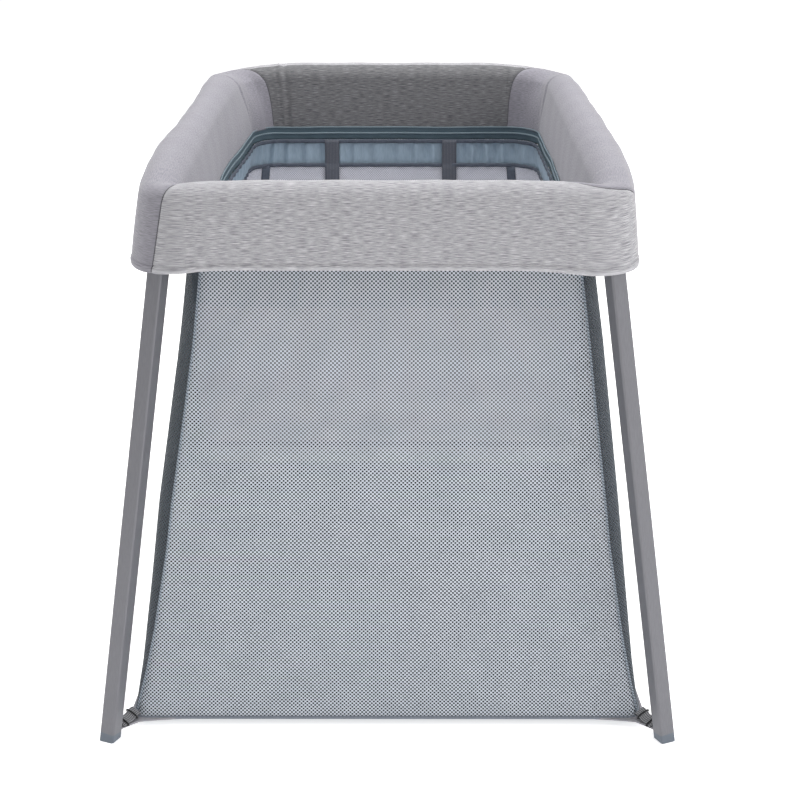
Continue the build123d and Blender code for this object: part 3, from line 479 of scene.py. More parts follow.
def wall_plan(p, half_x, half_y, radius):
    """A quarter of a rounded rectangle by p: 0 to 1 is half an end, 1 to 2 the corner and 2 to 3 half a side."""
    turn = np.clip(p - 1, 0, 1) * np.pi / 2
    x = np.clip(p, 0, 1) * (half_x - radius) + radius * np.sin(turn)
    return x, half_y - radius + radius * np.cos(turn) - np.clip(p - 2, 0, 1) * (half_y - radius)


def mesh_point(p, h, side, proud=0.0):
    """The mesh wall at p round its plan and share h of its height: its plan shrinks evenly upwards and is drawn in by
    the tension of the mesh, most beside the corners and on the left. Gives x, y, z and the distance round the plan."""
    half_x, half_y, radius = (low + (high - low) * h for low, high in zip(MESH_FOOT, MESH_HEAD))
    left = np.interp(h, [0, 0.12, 0.3, 0.48, 0.64, 0.75, 0.82, 1], [1.5, 5.3, 6, 5.5, 8.5, 10.6, 12.4, 12.4])
    right = np.interp(h, [0, 0.12, 0.3, 0.48, 0.7, 0.82, 1], [3.5, 5, 3.4, 1.2, 0.3, 0, 2])
    near_corner = 1 - 0.7 * ease((p - 2) / 0.25)
    half_x = half_x - 0.001 * np.where(side < 0, left, right) * near_corner + proud
    half_y = half_y - MESH_BOW * np.sin(np.pi * h) + proud
    x, y = wall_plan(p, half_x, half_y, radius)
    run = (np.clip(p, 0, 1) * (half_x - radius) + np.clip(p - 1, 0, 1) * radius * np.pi / 2
           + np.clip(p - 2, 0, 1) * (half_y - radius))
    return x, y, MESH_LOW + (MESH_HIGH - MESH_LOW) * h, run


def mesh_seam(h):
    """How far round its corner an end panel reaches, by straight lines between six heights: most at the floor, least
    two fifths of the way up."""
    return np.interp(h, [0, 0.08, 0.2, 0.39, 0.7, 1], [1.6, 1.4, 1.22, 1.12, 1.18, 1.28])


def thicken(piece, thickness):
    """Gives a sheet its thickness, half to each side."""
    solid = piece.modifiers.new("thickness", "SOLIDIFY")
    solid.thickness, solid.offset = thickness, 0.0


def sheet_piece(name, points, places, flip, material, thickness=0.0):
    """A single sheet over a grid of points, with the flat cloth's metres at each point, and its thickness if any."""
    row, column, faces = grid_cells(*points.shape[:2], flip)
    piece = new_piece(name, points.reshape(-1, 3), faces, places[row, column].reshape(-1, 2), material)
    if thickness:
        thicken(piece, thickness)
    return piece


def fold_up(piece, body, slot, shortened, *stands_for):
    """Rides on a body with a mesh of its own and hides the CAD nodes that it stands for; slot and shortened are not
    used.
    """
    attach(piece, body)
    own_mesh(piece)
    if stands_for:
        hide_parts(*stands_for)


def knitted_mesh(name, tones, spacing, edge, painted_hole_shade, see_through, roughness, depth=0.0):
    """A warp-knitted mesh: the product of two cosines along and up the cloth is high in the middle of each staggered
    hole, where the yarn sinks by a depth and gives way to a painted shade colour for what is seen through, which lets
    some light through."""
    material, tree, cloth = new_finish(name, "UV")
    waves = []
    for way in "XY":
        along = add(tree, "SeparateXYZ", {"Vector": cloth}, out=way)
        angle = add(tree, "Math", {0: along, 1: 2 * np.pi / spacing}, operation="MULTIPLY")
        waves.append(add(tree, "Math", {0: angle}, operation="COSINE"))
    lattice = add(tree, "Math", {0: waves[0], 1: waves[1]}, operation="MULTIPLY")
    hole = add(tree, "MapRange", {"Value": lattice, "From Min": edge[0], "From Max": edge[1]},
               interpolation_type="SMOOTHSTEP")
    cloud = add(tree, "TexNoise", {"Vector": cloth, "Scale": 1 / 0.05, "Detail": 2.0})
    thread = add(tree, "ValToRGB", {"Fac": cloud}, stops=dict(enumerate(tones)))
    colour = add(tree, "Mix", {0: hole, 6: thread, 7: linear(painted_hole_shade)}, out=2, data_type="RGBA")
    cover = add(tree, "MapRange", {"Value": hole, "To Min": 1.0, "To Max": see_through})
    sockets = {"Roughness": roughness, "Alpha": cover}
    if depth:
        sockets["Normal"] = add(tree, "Bump", {"Height": hole, "Strength": 0.4, "Distance": depth}, invert=True)
    surface(tree, colour, None, sockets)
    return material


def woven_binding(name, tones):
    """A woven tape folded over an edge: picks of 1.6 by 6 mm vary its tone and stand a little proud. They are coarser
    than real ones, to show."""
    material, tree, cloth = new_finish(name, "UV")
    picks = streaks(tree, cloth, (0.0016, 0.006, 1), detail=2.0)
    surface(tree, picks, tones, {"Roughness": 0.85}, relief=picks, strength=0.3, depth=0.0005)
    return material


# white yarn round staggered diamond holes, 5.4 mm apart, over a dark sheet that fills most of each hole as painted
# shade of the inside of the cot, so it reads as pale and dark dots and lets the inside show faintly; the sides are of
# the same mesh in slate blue, partly a darker mesh and partly painted shade for panels turned away from the light, so
# the turned edge beside each seam reads as a dark strip
MESH_LOOKS = {"spacing": MESH_HOLE, "edge": (-0.08, 0.28), "painted_hole_shade": "#1d2228", "see_through": 0.74, "roughness": 0.75,
              "depth": 0.0006}
crib_mesh = knitted_mesh("knitted_polyester_mesh", ("#c0c7d0", "#d4d9e2"), **MESH_LOOKS)
slate_and_shaded_side_mesh = knitted_mesh("slate_mesh_and_painted_shade", ("#414a53", "#4f5963"), **MESH_LOOKS)

# seam cord: a pale overlocked edge, whose stitches show as a twist of 3.5 mm
seam_thread, tree, cloth = new_finish("overlocked_seam_thread", "UV")
stitch_at = add(tree, "Mapping", {"Vector": cloth, "Rotation": (0, 0, 0.6)})
stitch = add(tree, "TexWave", {"Vector": stitch_at, "Scale": WAVE_PITCH / 0.00345575}, out="Fac", bands_direction="X")
surface(tree, stitch, ("#4c5763", "#aab3be"), {"Roughness": 0.8}, relief=stitch, strength=0.5, depth=0.0006)

# bindings: dark tape on the bassinet, and the same tape in a paler grey on the hem of the mesh
dark_binding = woven_binding("dark_woven_binding", ("#434954", "#626976"))
pale_binding = woven_binding("grey_woven_binding", ("#6e747e", "#8b919b"))

rise = np.linspace(0, 1, 67)
for end, name in ENDS:
    a, h = np.meshgrid(np.linspace(-1, 1, 97), rise)
    p = a * mesh_seam(h)
    x, y, z, run = mesh_point(np.abs(p), h, np.sign(p))
    piece = sheet_piece(name + "_mesh", np.stack([np.sign(p) * x, end * y, z], -1),
                        np.stack([np.sign(p) * run, h * MESH_TALL], -1), end > 0, crib_mesh)
    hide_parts(name + "_mesh_panel")
    seams = []
    for side, side_name in SIDES:
        x, y, z, _ = mesh_point(mesh_seam(rise), rise, side, proud=SEAM_PROUD)
        path = np.stack([side * x, end * y, z], -1)
        seams.append(bead_piece(f"{name}_{side_name}_mesh_seam", path, MESH_SEAM, seam_thread))
    p = np.linspace(-HEM_REACH, HEM_REACH, 121)
    x, y, z, _ = mesh_point(np.abs(p), np.zeros_like(p), np.sign(p))
    hem = bead_piece(name + "_mesh_hem", np.stack([np.sign(p) * x, end * y, z], -1), MESH_HEM, pale_binding)
    for part, slot in ((piece, "crib_mesh"), *((seam, "crib_mesh") for seam in seams), (hem, "webbing")):
        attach(part, name + "_frame")
for side, name in SIDES:
    t, h = np.meshgrid(np.linspace(-1, 1, 141), rise)
    p = mesh_seam(h) + (3 - mesh_seam(h)) * (1 - np.abs(t))
    x, y, z, run = mesh_point(p, h, side)
    middle = mesh_point(np.full_like(p, 3), h, side)[3]
    piece = sheet_piece(name + "_mesh", np.stack([side * x, np.sign(t) * y, z], -1),
                        np.stack([np.sign(t) * (middle - run), h * MESH_TALL], -1), side < 0, slate_and_shaded_side_mesh)
    t = np.linspace(-1, 1, 161)
    p = HEM_REACH + (3 - HEM_REACH) * (1 - np.abs(t))
    x, y, z, _ = mesh_point(p, np.zeros_like(p), side)
    hem = bead_piece(name + "_mesh_hem", np.stack([side * x, np.sign(t) * y, z], -1), MESH_HEM, pale_binding)
    fold_up(piece, "front_frame", "crib_mesh", CRIB_FOLD, name + "_mesh_panel")
    fold_up(hem, "front_frame", "webbing", CRIB_FOLD)


# Base: a board with a thin pad, in woven cloth, that lies inside the foot of the mesh wall.
# It is sewn to the mesh all round and folds in panels with the cot; here it rides whole on the front frame.


def weld(piece):
    """Merges a closed piece's doubled points, drops faces without area and turns the rest outwards."""
    whole = bmesh.new()
    whole.from_mesh(piece.data)
    bmesh.ops.remove_doubles(whole, verts=whole.verts, dist=1e-6)
    bmesh.ops.dissolve_degenerate(whole, edges=whole.edges, dist=1e-7)
    bmesh.ops.recalc_face_normals(whole, faces=whole.faces)
    whole.to_mesh(piece.data)
    whole.free()


def pad_piece(name, material, half_x, half_y, radius, low, high, crown=0.0, draw=0.0, edge=0.35):
    """A closed pad. Outlines of a rounded rectangle grow from the middle of the underside to the widest line and shrink
    again to the middle of the crowned top, round a half circle squeezed to the share edge; between corners the sides
    are drawn in by up to draw, as a cosine."""
    fat = (high - low) / 2
    angle, inner = np.linspace(-np.pi / 2, np.pi / 2, 13), np.linspace(0, 1, 18)[:-1]
    flat = np.ones_like(inner)
    inset = fat * edge * np.concatenate([flat, 1 - np.cos(angle), flat])
    scale = np.concatenate([inner, np.ones_like(angle), inner[::-1]])
    height = np.concatenate([low * flat, low + fat + fat * np.sin(angle), high + crown * (1 - inner[::-1] ** 2)])
    p, k = np.meshgrid(np.linspace(0, 3, 61), np.arange(len(scale)))
    x, y = wall_plan(p, half_x - inset[k], half_y - inset[k], radius - np.minimum(inset[k], radius * 0.8))
    pull_x = draw * np.cos(np.pi / 2 * np.clip(y / half_y, 0, 1)) * (p > 1.5)
    pull_y = draw * np.cos(np.pi / 2 * np.clip(x / half_x, 0, 1)) * (p <= 1.5)
    x, y = (x - pull_x) * scale[k], (y - pull_y) * scale[k]
    x = np.concatenate([x, x[:, ::-1], -x, -x[:, ::-1]], 1)
    y = np.concatenate([y, -y[:, ::-1], -y, y[:, ::-1]], 1)
    points = np.stack([x, y, np.repeat(height[:, None], x.shape[1], 1)], -1)
    piece = new_piece(name, points.reshape(-1, 3), grid_cells(*points.shape[:2], False, wrap=True)[2], None, material)
    weld(piece)
    piece.data.shade_smooth()
    return piece


# plain-woven polyester: warp and weft cross every 1.9 mm here, about twice the real thread
base_cloth, tree, place = new_finish("woven_grey_polyester", "Object")
warp, weft = (add(tree, "TexWave", {"Vector": place, "Scale": WAVE_PITCH / 0.00188496}, out="Fac", bands_direction=way)
              for way in "XY")
weave = add(tree, "Math", {0: warp, 1: weft}, operation="MULTIPLY")
cloud = add(tree, "TexNoise", {"Vector": place, "Scale": 1 / 0.04, "Detail": 3.0})
mixed = add(tree, "Math", {0: weave, 1: cloud}, operation="MULTIPLY")
surface(tree, mixed, ("#565c66", "#7e858f"), {"Roughness": 0.88}, relief=weave, strength=0.3, depth=0.0006)

base = pad_piece("base_pad", base_cloth, half_x=0.349, half_y=0.470, radius=0.018, low=0.0095, high=0.0205, crown=0.003)
fold_up(base, "front_frame", "base_cloth", CRIB_FOLD, "base_panel")


# Corner webs and straps: grey cloth gussets from the base's corners to the feet, and ribbed elastic
# webbing from the end of each mesh seam to the loop on the leg, in two black wire keepers.
STRAP_LENGTH, STRAP_HALF, STRAP_WAVE, STRAP_THICKNESS = 0.034, 0.008, 0.0010, 0.0022
KEEPER_HALF, KEEPER_TALL, KEEPER_WIRE, GUSSET_THICKNESS = 0.0098, 0.0026, 0.0011, 0.0030
GUSSET_TIP_X, GUSSET_TIP_Y, GUSSET_HIGH, GUSSET_FALL = 0.3730, 0.5080, 0.0095, 0.003
LEG_END, MESH_END = np.array([0.3655, 0.4990, 0.0135]), np.array([0.3478, 0.4712, 0.0195])
STRAP_LIE, KEEPER_RISE = np.array([0.80, -0.45, 0.40]), np.array([-0.35, 0.20, 0.92])

# elastic webbing: ribs across the strap, every 2 mm, with dark gaps
ribbed_webbing, tree, cloth = new_finish("ribbed_elastic_webbing", "UV")
ribs = add(tree, "TexWave", {"Vector": cloth, "Scale": WAVE_PITCH / 0.00201062, "Distortion": 0.4}, out="Fac",
           bands_direction="X")
cross_ribs = add(tree, "TexWave", {"Vector": cloth, "Scale": WAVE_PITCH / 0.00282743}, out="Fac", bands_direction="Y")
knit = add(tree, "Math", {0: ribs, 1: cross_ribs}, operation="MULTIPLY")
surface(tree, knit, {0: "#505155", 0.6: "#b4b4b7"}, {"Roughness": 0.85}, relief=knit, strength=0.6, depth=0.001)

# gusset cloth: smooth coated polyester, pale grey, with soft creases
gusset_cloth, tree, cloth = new_finish("coated_grey_polyester", "UV")
cloud = add(tree, "TexNoise", {"Vector": cloth, "Scale": 1 / 0.008, "Detail": 3.0})
surface(tree, cloud, ("#8d8c92", "#a3a2a8"), {"Roughness": 0.7}, relief=cloud, strength=0.3, depth=0.001)


def strap_line(share):
    """The strap's middle line by its share of the way from the leg to the mesh, with a slight wave in height."""
    share = np.asarray(share)[..., None]
    return LEG_END + (MESH_END - LEG_END) * share + STRAP_WAVE * np.sin(3 * np.pi * share) * (0, 0, 1)


for end, end_name in ENDS:
    for side, side_name in SIDES:
        body, name, signs = end_name + "_frame", f"{end_name}_{side_name}", (side, end, 1)
        # strap from the mesh corner to the leg's inward face, tilted towards the end of the cot
        run, across = np.meshgrid(np.linspace(0, 1, 33), np.linspace(-STRAP_HALF, STRAP_HALF, 7))
        points = (strap_line(run) + STRAP_LIE * across[..., None]) * signs
        strap = sheet_piece(name + "_strap", points, np.stack([run * STRAP_LENGTH, across + STRAP_HALF], -1),
                            side * end < 0, ribbed_webbing, STRAP_THICKNESS)
        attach(strap, body)
        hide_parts(end_name + "_base_straps")
        for label, at in (("outer", 0.16), ("inner", 0.72)):
            angle = np.linspace(0, 2 * np.pi, 24, endpoint=False)[:, None]
            path = (strap_line(at) + KEEPER_HALF * np.cos(angle) * STRAP_LIE
                    + KEEPER_TALL * np.sin(angle) * KEEPER_RISE)
            keeper = bead_piece(f"{name}_{label}_keeper", path * signs, KEEPER_WIRE, moulded_nylon, sides=8, loop=True)
            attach(keeper, body)
        # gusset: from the base's edge round its corner out to the foot, with hollow edges
        t, r = np.meshgrid(np.linspace(-1, 1, 57), np.linspace(0, 1, 9))
        x, y = wall_plan(1.5 + t * 0.7, 0.3525, 0.4740, 0.018)
        pull = (1 - np.abs(t)) ** 1.25 * r
        x, y = x + (GUSSET_TIP_X + 0.004 * t - x) * pull, y + (GUSSET_TIP_Y - 0.008 * t - y) * pull
        gusset = sheet_piece(name + "_gusset", np.stack([side * x, end * y, GUSSET_HIGH - GUSSET_FALL * pull], -1),
                             np.stack([x, y], -1), side * end > 0, gusset_cloth, GUSSET_THICKNESS)
        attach(gusset, body)


# Zip: two tapes, each with a nylon coil, round the inside of the cover's hem, which the bassinet hangs from.
# The upper tape is sewn to the cover and stays, and the lower one goes with the bassinet.
ZIP_LINE, ZIP_SET_IN, COIL_SET_IN, TAPE_THICKNESS = 0.6485, 0.0006, 0.0018, 0.0009
BASSINET_FOLD = {"anchor": (0.0, -0.440, 0.0), "keep": 0.257}


def outline(half_x, half_y, radius, count):
    """A closed rounded rectangle by even steps of its length: points, outward normals and distances."""
    steps = 25
    corner = (np.linspace(0, np.pi / 2, steps) + np.arange(4)[:, None] * np.pi / 2).ravel()
    sign_x, sign_y = np.repeat([1, -1, -1, 1], steps), np.repeat([1, 1, -1, -1], steps)
    knots = np.stack([sign_x * (half_x - radius) + radius * np.cos(corner),
                      sign_y * (half_y - radius) + radius * np.sin(corner), np.cos(corner), np.sin(corner)], -1)
    knots = np.concatenate([knots, knots[:1]])
    run = run_along(knots[:, :2])
    along = np.linspace(0, run[-1], count, endpoint=False)
    found = np.stack([np.interp(along, run, knots[:, k]) for k in range(4)], -1)
    return found[:, :2], found[:, 2:], along


def lean_in(plan, weight):
    """Moves an outline of the opening in with the sway of the inner hem."""
    x, y = plan[..., 0], plan[..., 1]
    moved = x - np.sign(x) * weight * sway(x, y) * np.clip(np.abs(x) / OPEN_X, 0, 1) ** 3
    return np.stack([moved, y], -1)


def ring_piece(name, rings, levels, along, material):
    """A closed band: outlines one above another, each at its level plus any waver, joined at the end of the round."""
    levels = np.broadcast_to(levels, rings.shape[:2])
    row, column, faces = grid_cells(*rings.shape[:2], True, wrap=True)
    places = np.stack([np.append(along, along[-1] + along[1])[column], levels.mean(1)[row]], -1).reshape(-1, 2)
    points = np.concatenate([rings, levels[..., None]], -1)
    return new_piece(name, points.reshape(-1, 3), faces, places, material)


# zip tape: twilled polyester in a grey teal, with ribs on the slant, 1.9 mm apart, which is about twice the real
# spacing, to show
zip_tape, tree, cloth = new_finish("woven_teal_zip_tape", "UV")
twill_at = add(tree, "Mapping", {"Vector": cloth, "Rotation": (0, 0, 0.78)})
twill = add(tree, "TexWave", {"Vector": twill_at, "Scale": WAVE_PITCH / 0.00188496}, out="Fac", bands_direction="X")
cloud = add(tree, "TexNoise", {"Vector": cloth, "Scale": 1 / 0.03, "Detail": 2.0})
mixed = add(tree, "Math", {0: twill, 1: cloud}, operation="MULTIPLY")
surface(tree, mixed, ("#465862", "#647883"), {"Roughness": 0.8}, relief=twill, strength=0.25, depth=0.0005)

# zip coil: bright nylon turns, 1.4 mm apart
zip_coil, tree, cloth = new_finish("nylon_zip_coil", "UV")
turns = add(tree, "TexWave", {"Vector": cloth, "Scale": WAVE_PITCH / 0.0013823}, out="Fac", bands_direction="X")
surface(tree, turns, ("#65767f", "#93a4ae"), {"Roughness": 0.4, "IOR": 1.53}, relief=turns, strength=0.6, depth=0.0006)

plan, out, along = outline(OPEN_X, OPEN_Y, OPEN_RADIUS, 900)
ripple = 0.0006 * np.sin(along / 0.043) + 0.0004 * np.sin(along / 0.021 + 1.0)
for name, body, low, high, coil_level, coil_radius in (
        ("rim_zip", "front_frame", ZIP_LINE, ZIP_LINE + 0.0108, ZIP_LINE + 0.0102, 0.0011),
        ("bassinet_zip", "bassinet", ZIP_LINE - 0.0112, ZIP_LINE, ZIP_LINE, 0.0014)):
    ring, core = (lean_in(plan + (0.8 * ripple[:, None] - inward) * out, 1.0) for inward in (ZIP_SET_IN, COIL_SET_IN))
    levels = np.linspace(low, high, 7)[:, None] + 0.4 * ripple
    tape = ring_piece(name, np.broadcast_to(ring, (7, *ring.shape)), levels, along, zip_tape)
    thicken(tape, TAPE_THICKNESS)
    path = np.concatenate([core, coil_level + 0.4 * ripple[:, None]], 1)
    coil = bead_piece(name + "_coil", path, coil_radius, zip_coil, sides=8, loop=True)
    fold_up(tape, body, "zip_tape", BASSINET_FOLD, name + "_tape")
    fold_up(coil, body, "zip_tape", BASSINET_FOLD)


# Skirt: a band of thin gathered cloth under the zip, bound with dark tape top and bottom.
# Its gathers are sewn in at the zip and hang down to the mesh.
SKIRT_HIGH, SKIRT_LOW, SKIRT_FOLD, SKIRT_GATHER, SKIRT_SET_IN = 0.637, 0.591, 0.0036, 0.0325, 0.0014
BINDING_THICKNESS, SKIRT_LEAN = 0.0006, 0.6

# thin plain weave: dull, with threads that hardly show and are drawn 2 mm wide, coarser than real ones
skirt_cloth, tree, cloth = new_finish("thin_blue_grey_voile", "UV")
threads = streaks(tree, cloth, (0.002, 0.012, 1), detail=2.0)
surface(tree, threads, ("#8699a8", "#a5b8c7"), {"Roughness": 0.75, "Sheen Weight": 0.1})

plan, out, along = outline(OPEN_X - SKIRT_SET_IN, OPEN_Y - SKIRT_SET_IN, OPEN_RADIUS - SKIRT_SET_IN, 1500)
levels = np.linspace(SKIRT_LOW, SKIRT_HIGH, 15)[:, None]
share = (levels - SKIRT_LOW) / (SKIRT_HIGH - SKIRT_LOW)
gathers = round((along[-1] + along[1]) / SKIRT_GATHER)
phase = 2 * np.pi * gathers * along / (along[-1] + along[1])
wander = 0.9 * np.sin(phase * 3 / gathers * 7) + 0.6 * np.sin(phase * 11 / gathers + 2.0)
fold = np.sin(phase + wander + 0.5 * share) + 0.45 * np.sin(2 * phase + 2 * wander + 1.1 - share)
fold = fold * SKIRT_FOLD * (0.55 + 0.45 * np.sin(np.pi * share)) * (0.8 + 0.2 * np.sin(phase * 5 / gathers))
hung = lean_in(plan + fold[..., None] * out, SKIRT_LEAN + (1 - SKIRT_LEAN) * share)
skirt = ring_piece("bassinet_gathered_skirt", hung, levels, along, skirt_cloth)
bindings = []
for label, level, deep, inward, leaning in (("top", 0.6345, 0.0035, 0.003, 1.0),
                                            ("bottom", 0.5925, 0.0032, 0.0042, SKIRT_LEAN)):
    bulge = 0.0008 * np.cos(np.linspace(-np.pi / 2, np.pi / 2, 5))[:, None, None]
    ring = lean_in(plan - (inward + bulge) * out + 0.35 * fold[7][:, None] * out, leaning)
    levels = np.linspace(level - deep, level + deep, 5)[:, None]
    bindings.append(ring_piece(f"bassinet_skirt_{label}_binding", ring, levels, along, dark_binding))
    thicken(bindings[-1], BINDING_THICKNESS)
    fold_up(bindings[-1], "bassinet", "webbing", BASSINET_FOLD)
fold_up(skirt, "bassinet", "skirt_cloth", BASSINET_FOLD, "bassinet_skirt")


# Bassinet walls: four panels of fine white mesh that taper in to the floor, bound at the corners.
# They hang from the skirt and carry the floor board.
WALL_FOOT, WALL_HEAD = (0.249, 0.424, 0.030), (0.2612, 0.4362, 0.056)
WALL_LOW, WALL_HIGH, WALL_TALL, WALL_SEAM = 0.400, 0.5905, 0.2, {-1: 1.3, 1: 1.1}
WALL_END_HALF, WALL_SIDE_HALF, WALL_BOW = 0.215, 0.46, 0.002
CORNER_TAPE_HALF, CORNER_TAPE_THICKNESS, CORNER_TAPE_INSIDE = 0.0075, 0.0012, 0.0012

# fine warp-knitted mesh: white yarn with small round holes on a 3.2 mm lattice, each hole part filled with a grey
# painted shade
fine_mesh = knitted_mesh("fine_white_knitted_mesh", ("#d6d7e1", "#e4e4ec"), spacing=0.0032, edge=(0.1, 0.6),
                         painted_hole_shade="#8f939e", see_through=0.6, roughness=0.8)


def basket_point(p, h, side, end, proud=0.0):
    """The bassinet's wall at p round its plan and share h of its height: an evenly tapering rounded rectangle that bows
    out by half a sine wave, and whose top leans in with the skirt."""
    half_x, half_y, radius = (low + (high - low) * h for low, high in zip(WALL_FOOT, WALL_HEAD))
    bow = WALL_BOW * np.sin(np.pi * h)
    x, y = wall_plan(p, half_x + bow + proud, half_y + bow + proud, radius)
    x = x - SKIRT_LEAN * h * sway(side, end * y) * np.clip(x / OPEN_X, 0, 1) ** 3
    return x, y, WALL_LOW + (WALL_HIGH - WALL_LOW) * h


rise = np.linspace(0, 1, 25)
walls = []
for end, name in ENDS:
    a, h = np.meshgrid(np.linspace(-1, 1, 61), rise)
    p = a * np.where(a < 0, WALL_SEAM[-1], WALL_SEAM[1])
    x, y, z = basket_point(np.abs(p), h, np.sign(p), end)
    piece = sheet_piece(f"bassinet_{name}_mesh", np.stack([np.sign(p) * x, end * y, z], -1),
                        np.stack([a * WALL_END_HALF, h * WALL_TALL], -1), end > 0, fine_mesh)
    tapes = []
    for side, side_name in SIDES:
        w, h = np.meshgrid(np.linspace(-CORNER_TAPE_HALF, CORNER_TAPE_HALF, 5), rise)
        x, y, z = basket_point(np.full_like(h, WALL_SEAM[side]), h, side, end, proud=-CORNER_TAPE_INSIDE)
        turn = (WALL_SEAM[side] - 1) * np.pi / 2
        points = np.stack([side * (x + w * np.cos(turn)), end * (y - w * np.sin(turn)), z], -1)
        tapes.append(sheet_piece(f"bassinet_{name}_{side_name}_corner_tape", points,
                                 np.stack([w + CORNER_TAPE_HALF, h * WALL_TALL], -1), side * end > 0, dark_binding,
                                 CORNER_TAPE_THICKNESS))
        fold_up(tapes[-1], "bassinet", "webbing", BASSINET_FOLD)
    walls.append((piece, name, (0.46, 0.2), tapes))
for side, name in SIDES:
    t, h = np.meshgrid(np.linspace(-1, 1, 121), rise)
    p = WALL_SEAM[side] + (3 - WALL_SEAM[side]) * (1 - np.abs(t))
    x, y, z = basket_point(p, h, side, np.sign(t))
    piece = sheet_piece(f"bassinet_{name}_mesh", np.stack([side * x, np.sign(t) * y, z], -1),
                        np.stack([t * WALL_SIDE_HALF, h * WALL_TALL], -1), side < 0, fine_mesh)
    walls.append((piece, name, (0.92, 0.2), []))
for piece, name, flat, tapes in walls:
    fold_up(piece, "bassinet", "bassinet_mesh", BASSINET_FOLD, f"bassinet_{name}_wall")


# Slings: two lengths of dark polypropylene webbing, sewn to the zip at both ends of the bassinet.
# They run down over the skirt and the mesh and under the floor board, and carry the weight.
SLING_HALF, SLING_THICKNESS, SLING_UNDER, SLING_REACH, SLING_STEPS = 0.0125, 0.0014, 0.3903, 0.418, 60

# webbing: a ribbed weave along its length, cords 2.6 mm apart
dark_webbing, tree, cloth = new_finish("dark_polypropylene_webbing", "UV")
cords = add(tree, "TexWave", {"Vector": cloth, "Scale": WAVE_PITCH / 0.00263894}, out="Fac", bands_direction="X")
picks = streaks(tree, cloth, (0.004, 0.0016, 1), detail=2.0)
mixed = add(tree, "Math", {0: cords, 1: picks}, operation="MULTIPLY")
surface(tree, mixed, ("#50535c", "#747881"), {"Roughness": 0.8}, relief=mixed, strength=0.5, depth=0.0006)

profile = np.array([(0.4335, 0.6365), (0.4335, 0.592), (0.4315, 0.587), (0.4222, 0.402), (0.4215, 0.3995),
                    (0.4200, 0.3905)])
drop = run_along(profile)
y, z = (np.interp(np.linspace(0, drop[-1], SLING_STEPS), drop, profile[:, k]) for k in (0, 1))
under = np.linspace(SLING_REACH, -SLING_REACH, SLING_STEPS)
y, z = np.concatenate([y, under, -y[::-1]]), np.concatenate([z, np.full(SLING_STEPS, SLING_UNDER), z[::-1]])
run = run_along(np.stack([y, z], -1))
w, k = np.meshgrid(np.linspace(-SLING_HALF, SLING_HALF, 7), np.arange(len(y)))
for x, name in ((-0.103, "left"), (0.102, "right")):
    sling = sheet_piece(f"bassinet_{name}_sling", np.stack([x + w, y[k], z[k]], -1),
                        np.stack([w + SLING_HALF, run[k]], -1), False, dark_webbing, SLING_THICKNESS)
    fold_up(sling, "bassinet", "webbing", BASSINET_FOLD, "bassinet_slings")


# Bassinet floor: a stiff board in a sleeve of the same woven cloth as the base.
# It is held by the foot of the mesh walls and lies on the slings.
floor_board = pad_piece("bassinet_floor_board", base_cloth, half_x=0.250, half_y=0.425, radius=0.030,
                        low=0.392, high=0.400)
fold_up(floor_board, "bassinet", "base_cloth", BASSINET_FOLD, "bassinet_floor")


# Mattress: a foam pad in pale quilted cotton, with a corded seam round its top and bottom edges.
# It lies loose on the floor board and is crowned by the foam.
MATTRESS_X, MATTRESS_Y, MATTRESS_CORNER, MATTRESS_DRAW, QUILT, CORD = 0.2395, 0.4145, 0.030, 0.004, 0.055, 0.0022

# quilted cotton: lines of stitching 55 mm apart, both ways on the slant, pull the cloth into soft diamonds, whose tone
# is painted darker towards the stitching as shade in the dents, and its knit is drawn at 1.8 mm, coarser than real, to
# show
quilted_cotton, tree, place = new_finish("quilted_pale_cotton", "Object")
slant = add(tree, "Mapping", {"Vector": place, "Rotation": (0, 0, np.pi / 4)})
waves = []
for k in (0, 1):
    across_quilt = add(tree, "SeparateXYZ", {"Vector": slant}, out=k)
    angle = add(tree, "Math", {0: across_quilt, 1: np.pi / QUILT}, operation="MULTIPLY")
    waves.append(add(tree, "Math", {0: add(tree, "Math", {0: angle}, operation="SINE")}, operation="ABSOLUTE"))
pillow = add(tree, "Math", {0: waves[0], 1: waves[1]}, operation="MINIMUM")
soft = add(tree, "Math", {0: pillow, 1: 0.45}, operation="POWER")
knit = add(tree, "TexNoise", {"Vector": place, "Scale": 1 / 0.0018, "Detail": 2.0})
dents = add(tree, "Bump", {"Height": soft, "Strength": 0.7, "Distance": 0.004})
bump = add(tree, "Bump", {"Height": knit, "Strength": 0.2, "Distance": 0.0005, "Normal": dents})
# painted shade: the tone runs from the darker grey at the stitched dents to the paler one on the crowns of the diamonds
surface(tree, soft, ("#a9a8ac", "#cfced1"), {"Roughness": 0.9, "Sheen Weight": 0.15, "Normal": bump})

mattress = pad_piece("bassinet_quilted_mattress", quilted_cotton, MATTRESS_X, MATTRESS_Y, MATTRESS_CORNER,
                     low=0.4005, high=0.4325, crown=0.0075, draw=MATTRESS_DRAW, edge=0.6)
fold_up(mattress, "bassinet", "mattress_cloth", BASSINET_FOLD, "bassinet_mattress")
plan, out, along = outline(MATTRESS_X, MATTRESS_Y, MATTRESS_CORNER, 400)
along_edge = np.where(np.abs(out[:, 0]) > 0.7, plan[:, 1] / MATTRESS_Y, plan[:, 0] / MATTRESS_X)
pull = MATTRESS_DRAW * np.cos(np.pi / 2 * np.clip(along_edge, -1, 1)) + 0.0018
for label, level in (("bottom", 0.4062), ("top", 0.4275)):
    path = np.concatenate([plan - pull[:, None] * out, np.full((len(plan), 1), level)], 1)
    cord = bead_piece(f"bassinet_mattress_{label}_cord", path, CORD, seam_thread, sides=8, loop=True)
    fold_up(cord, "bassinet", "mattress_cloth", BASSINET_FOLD)


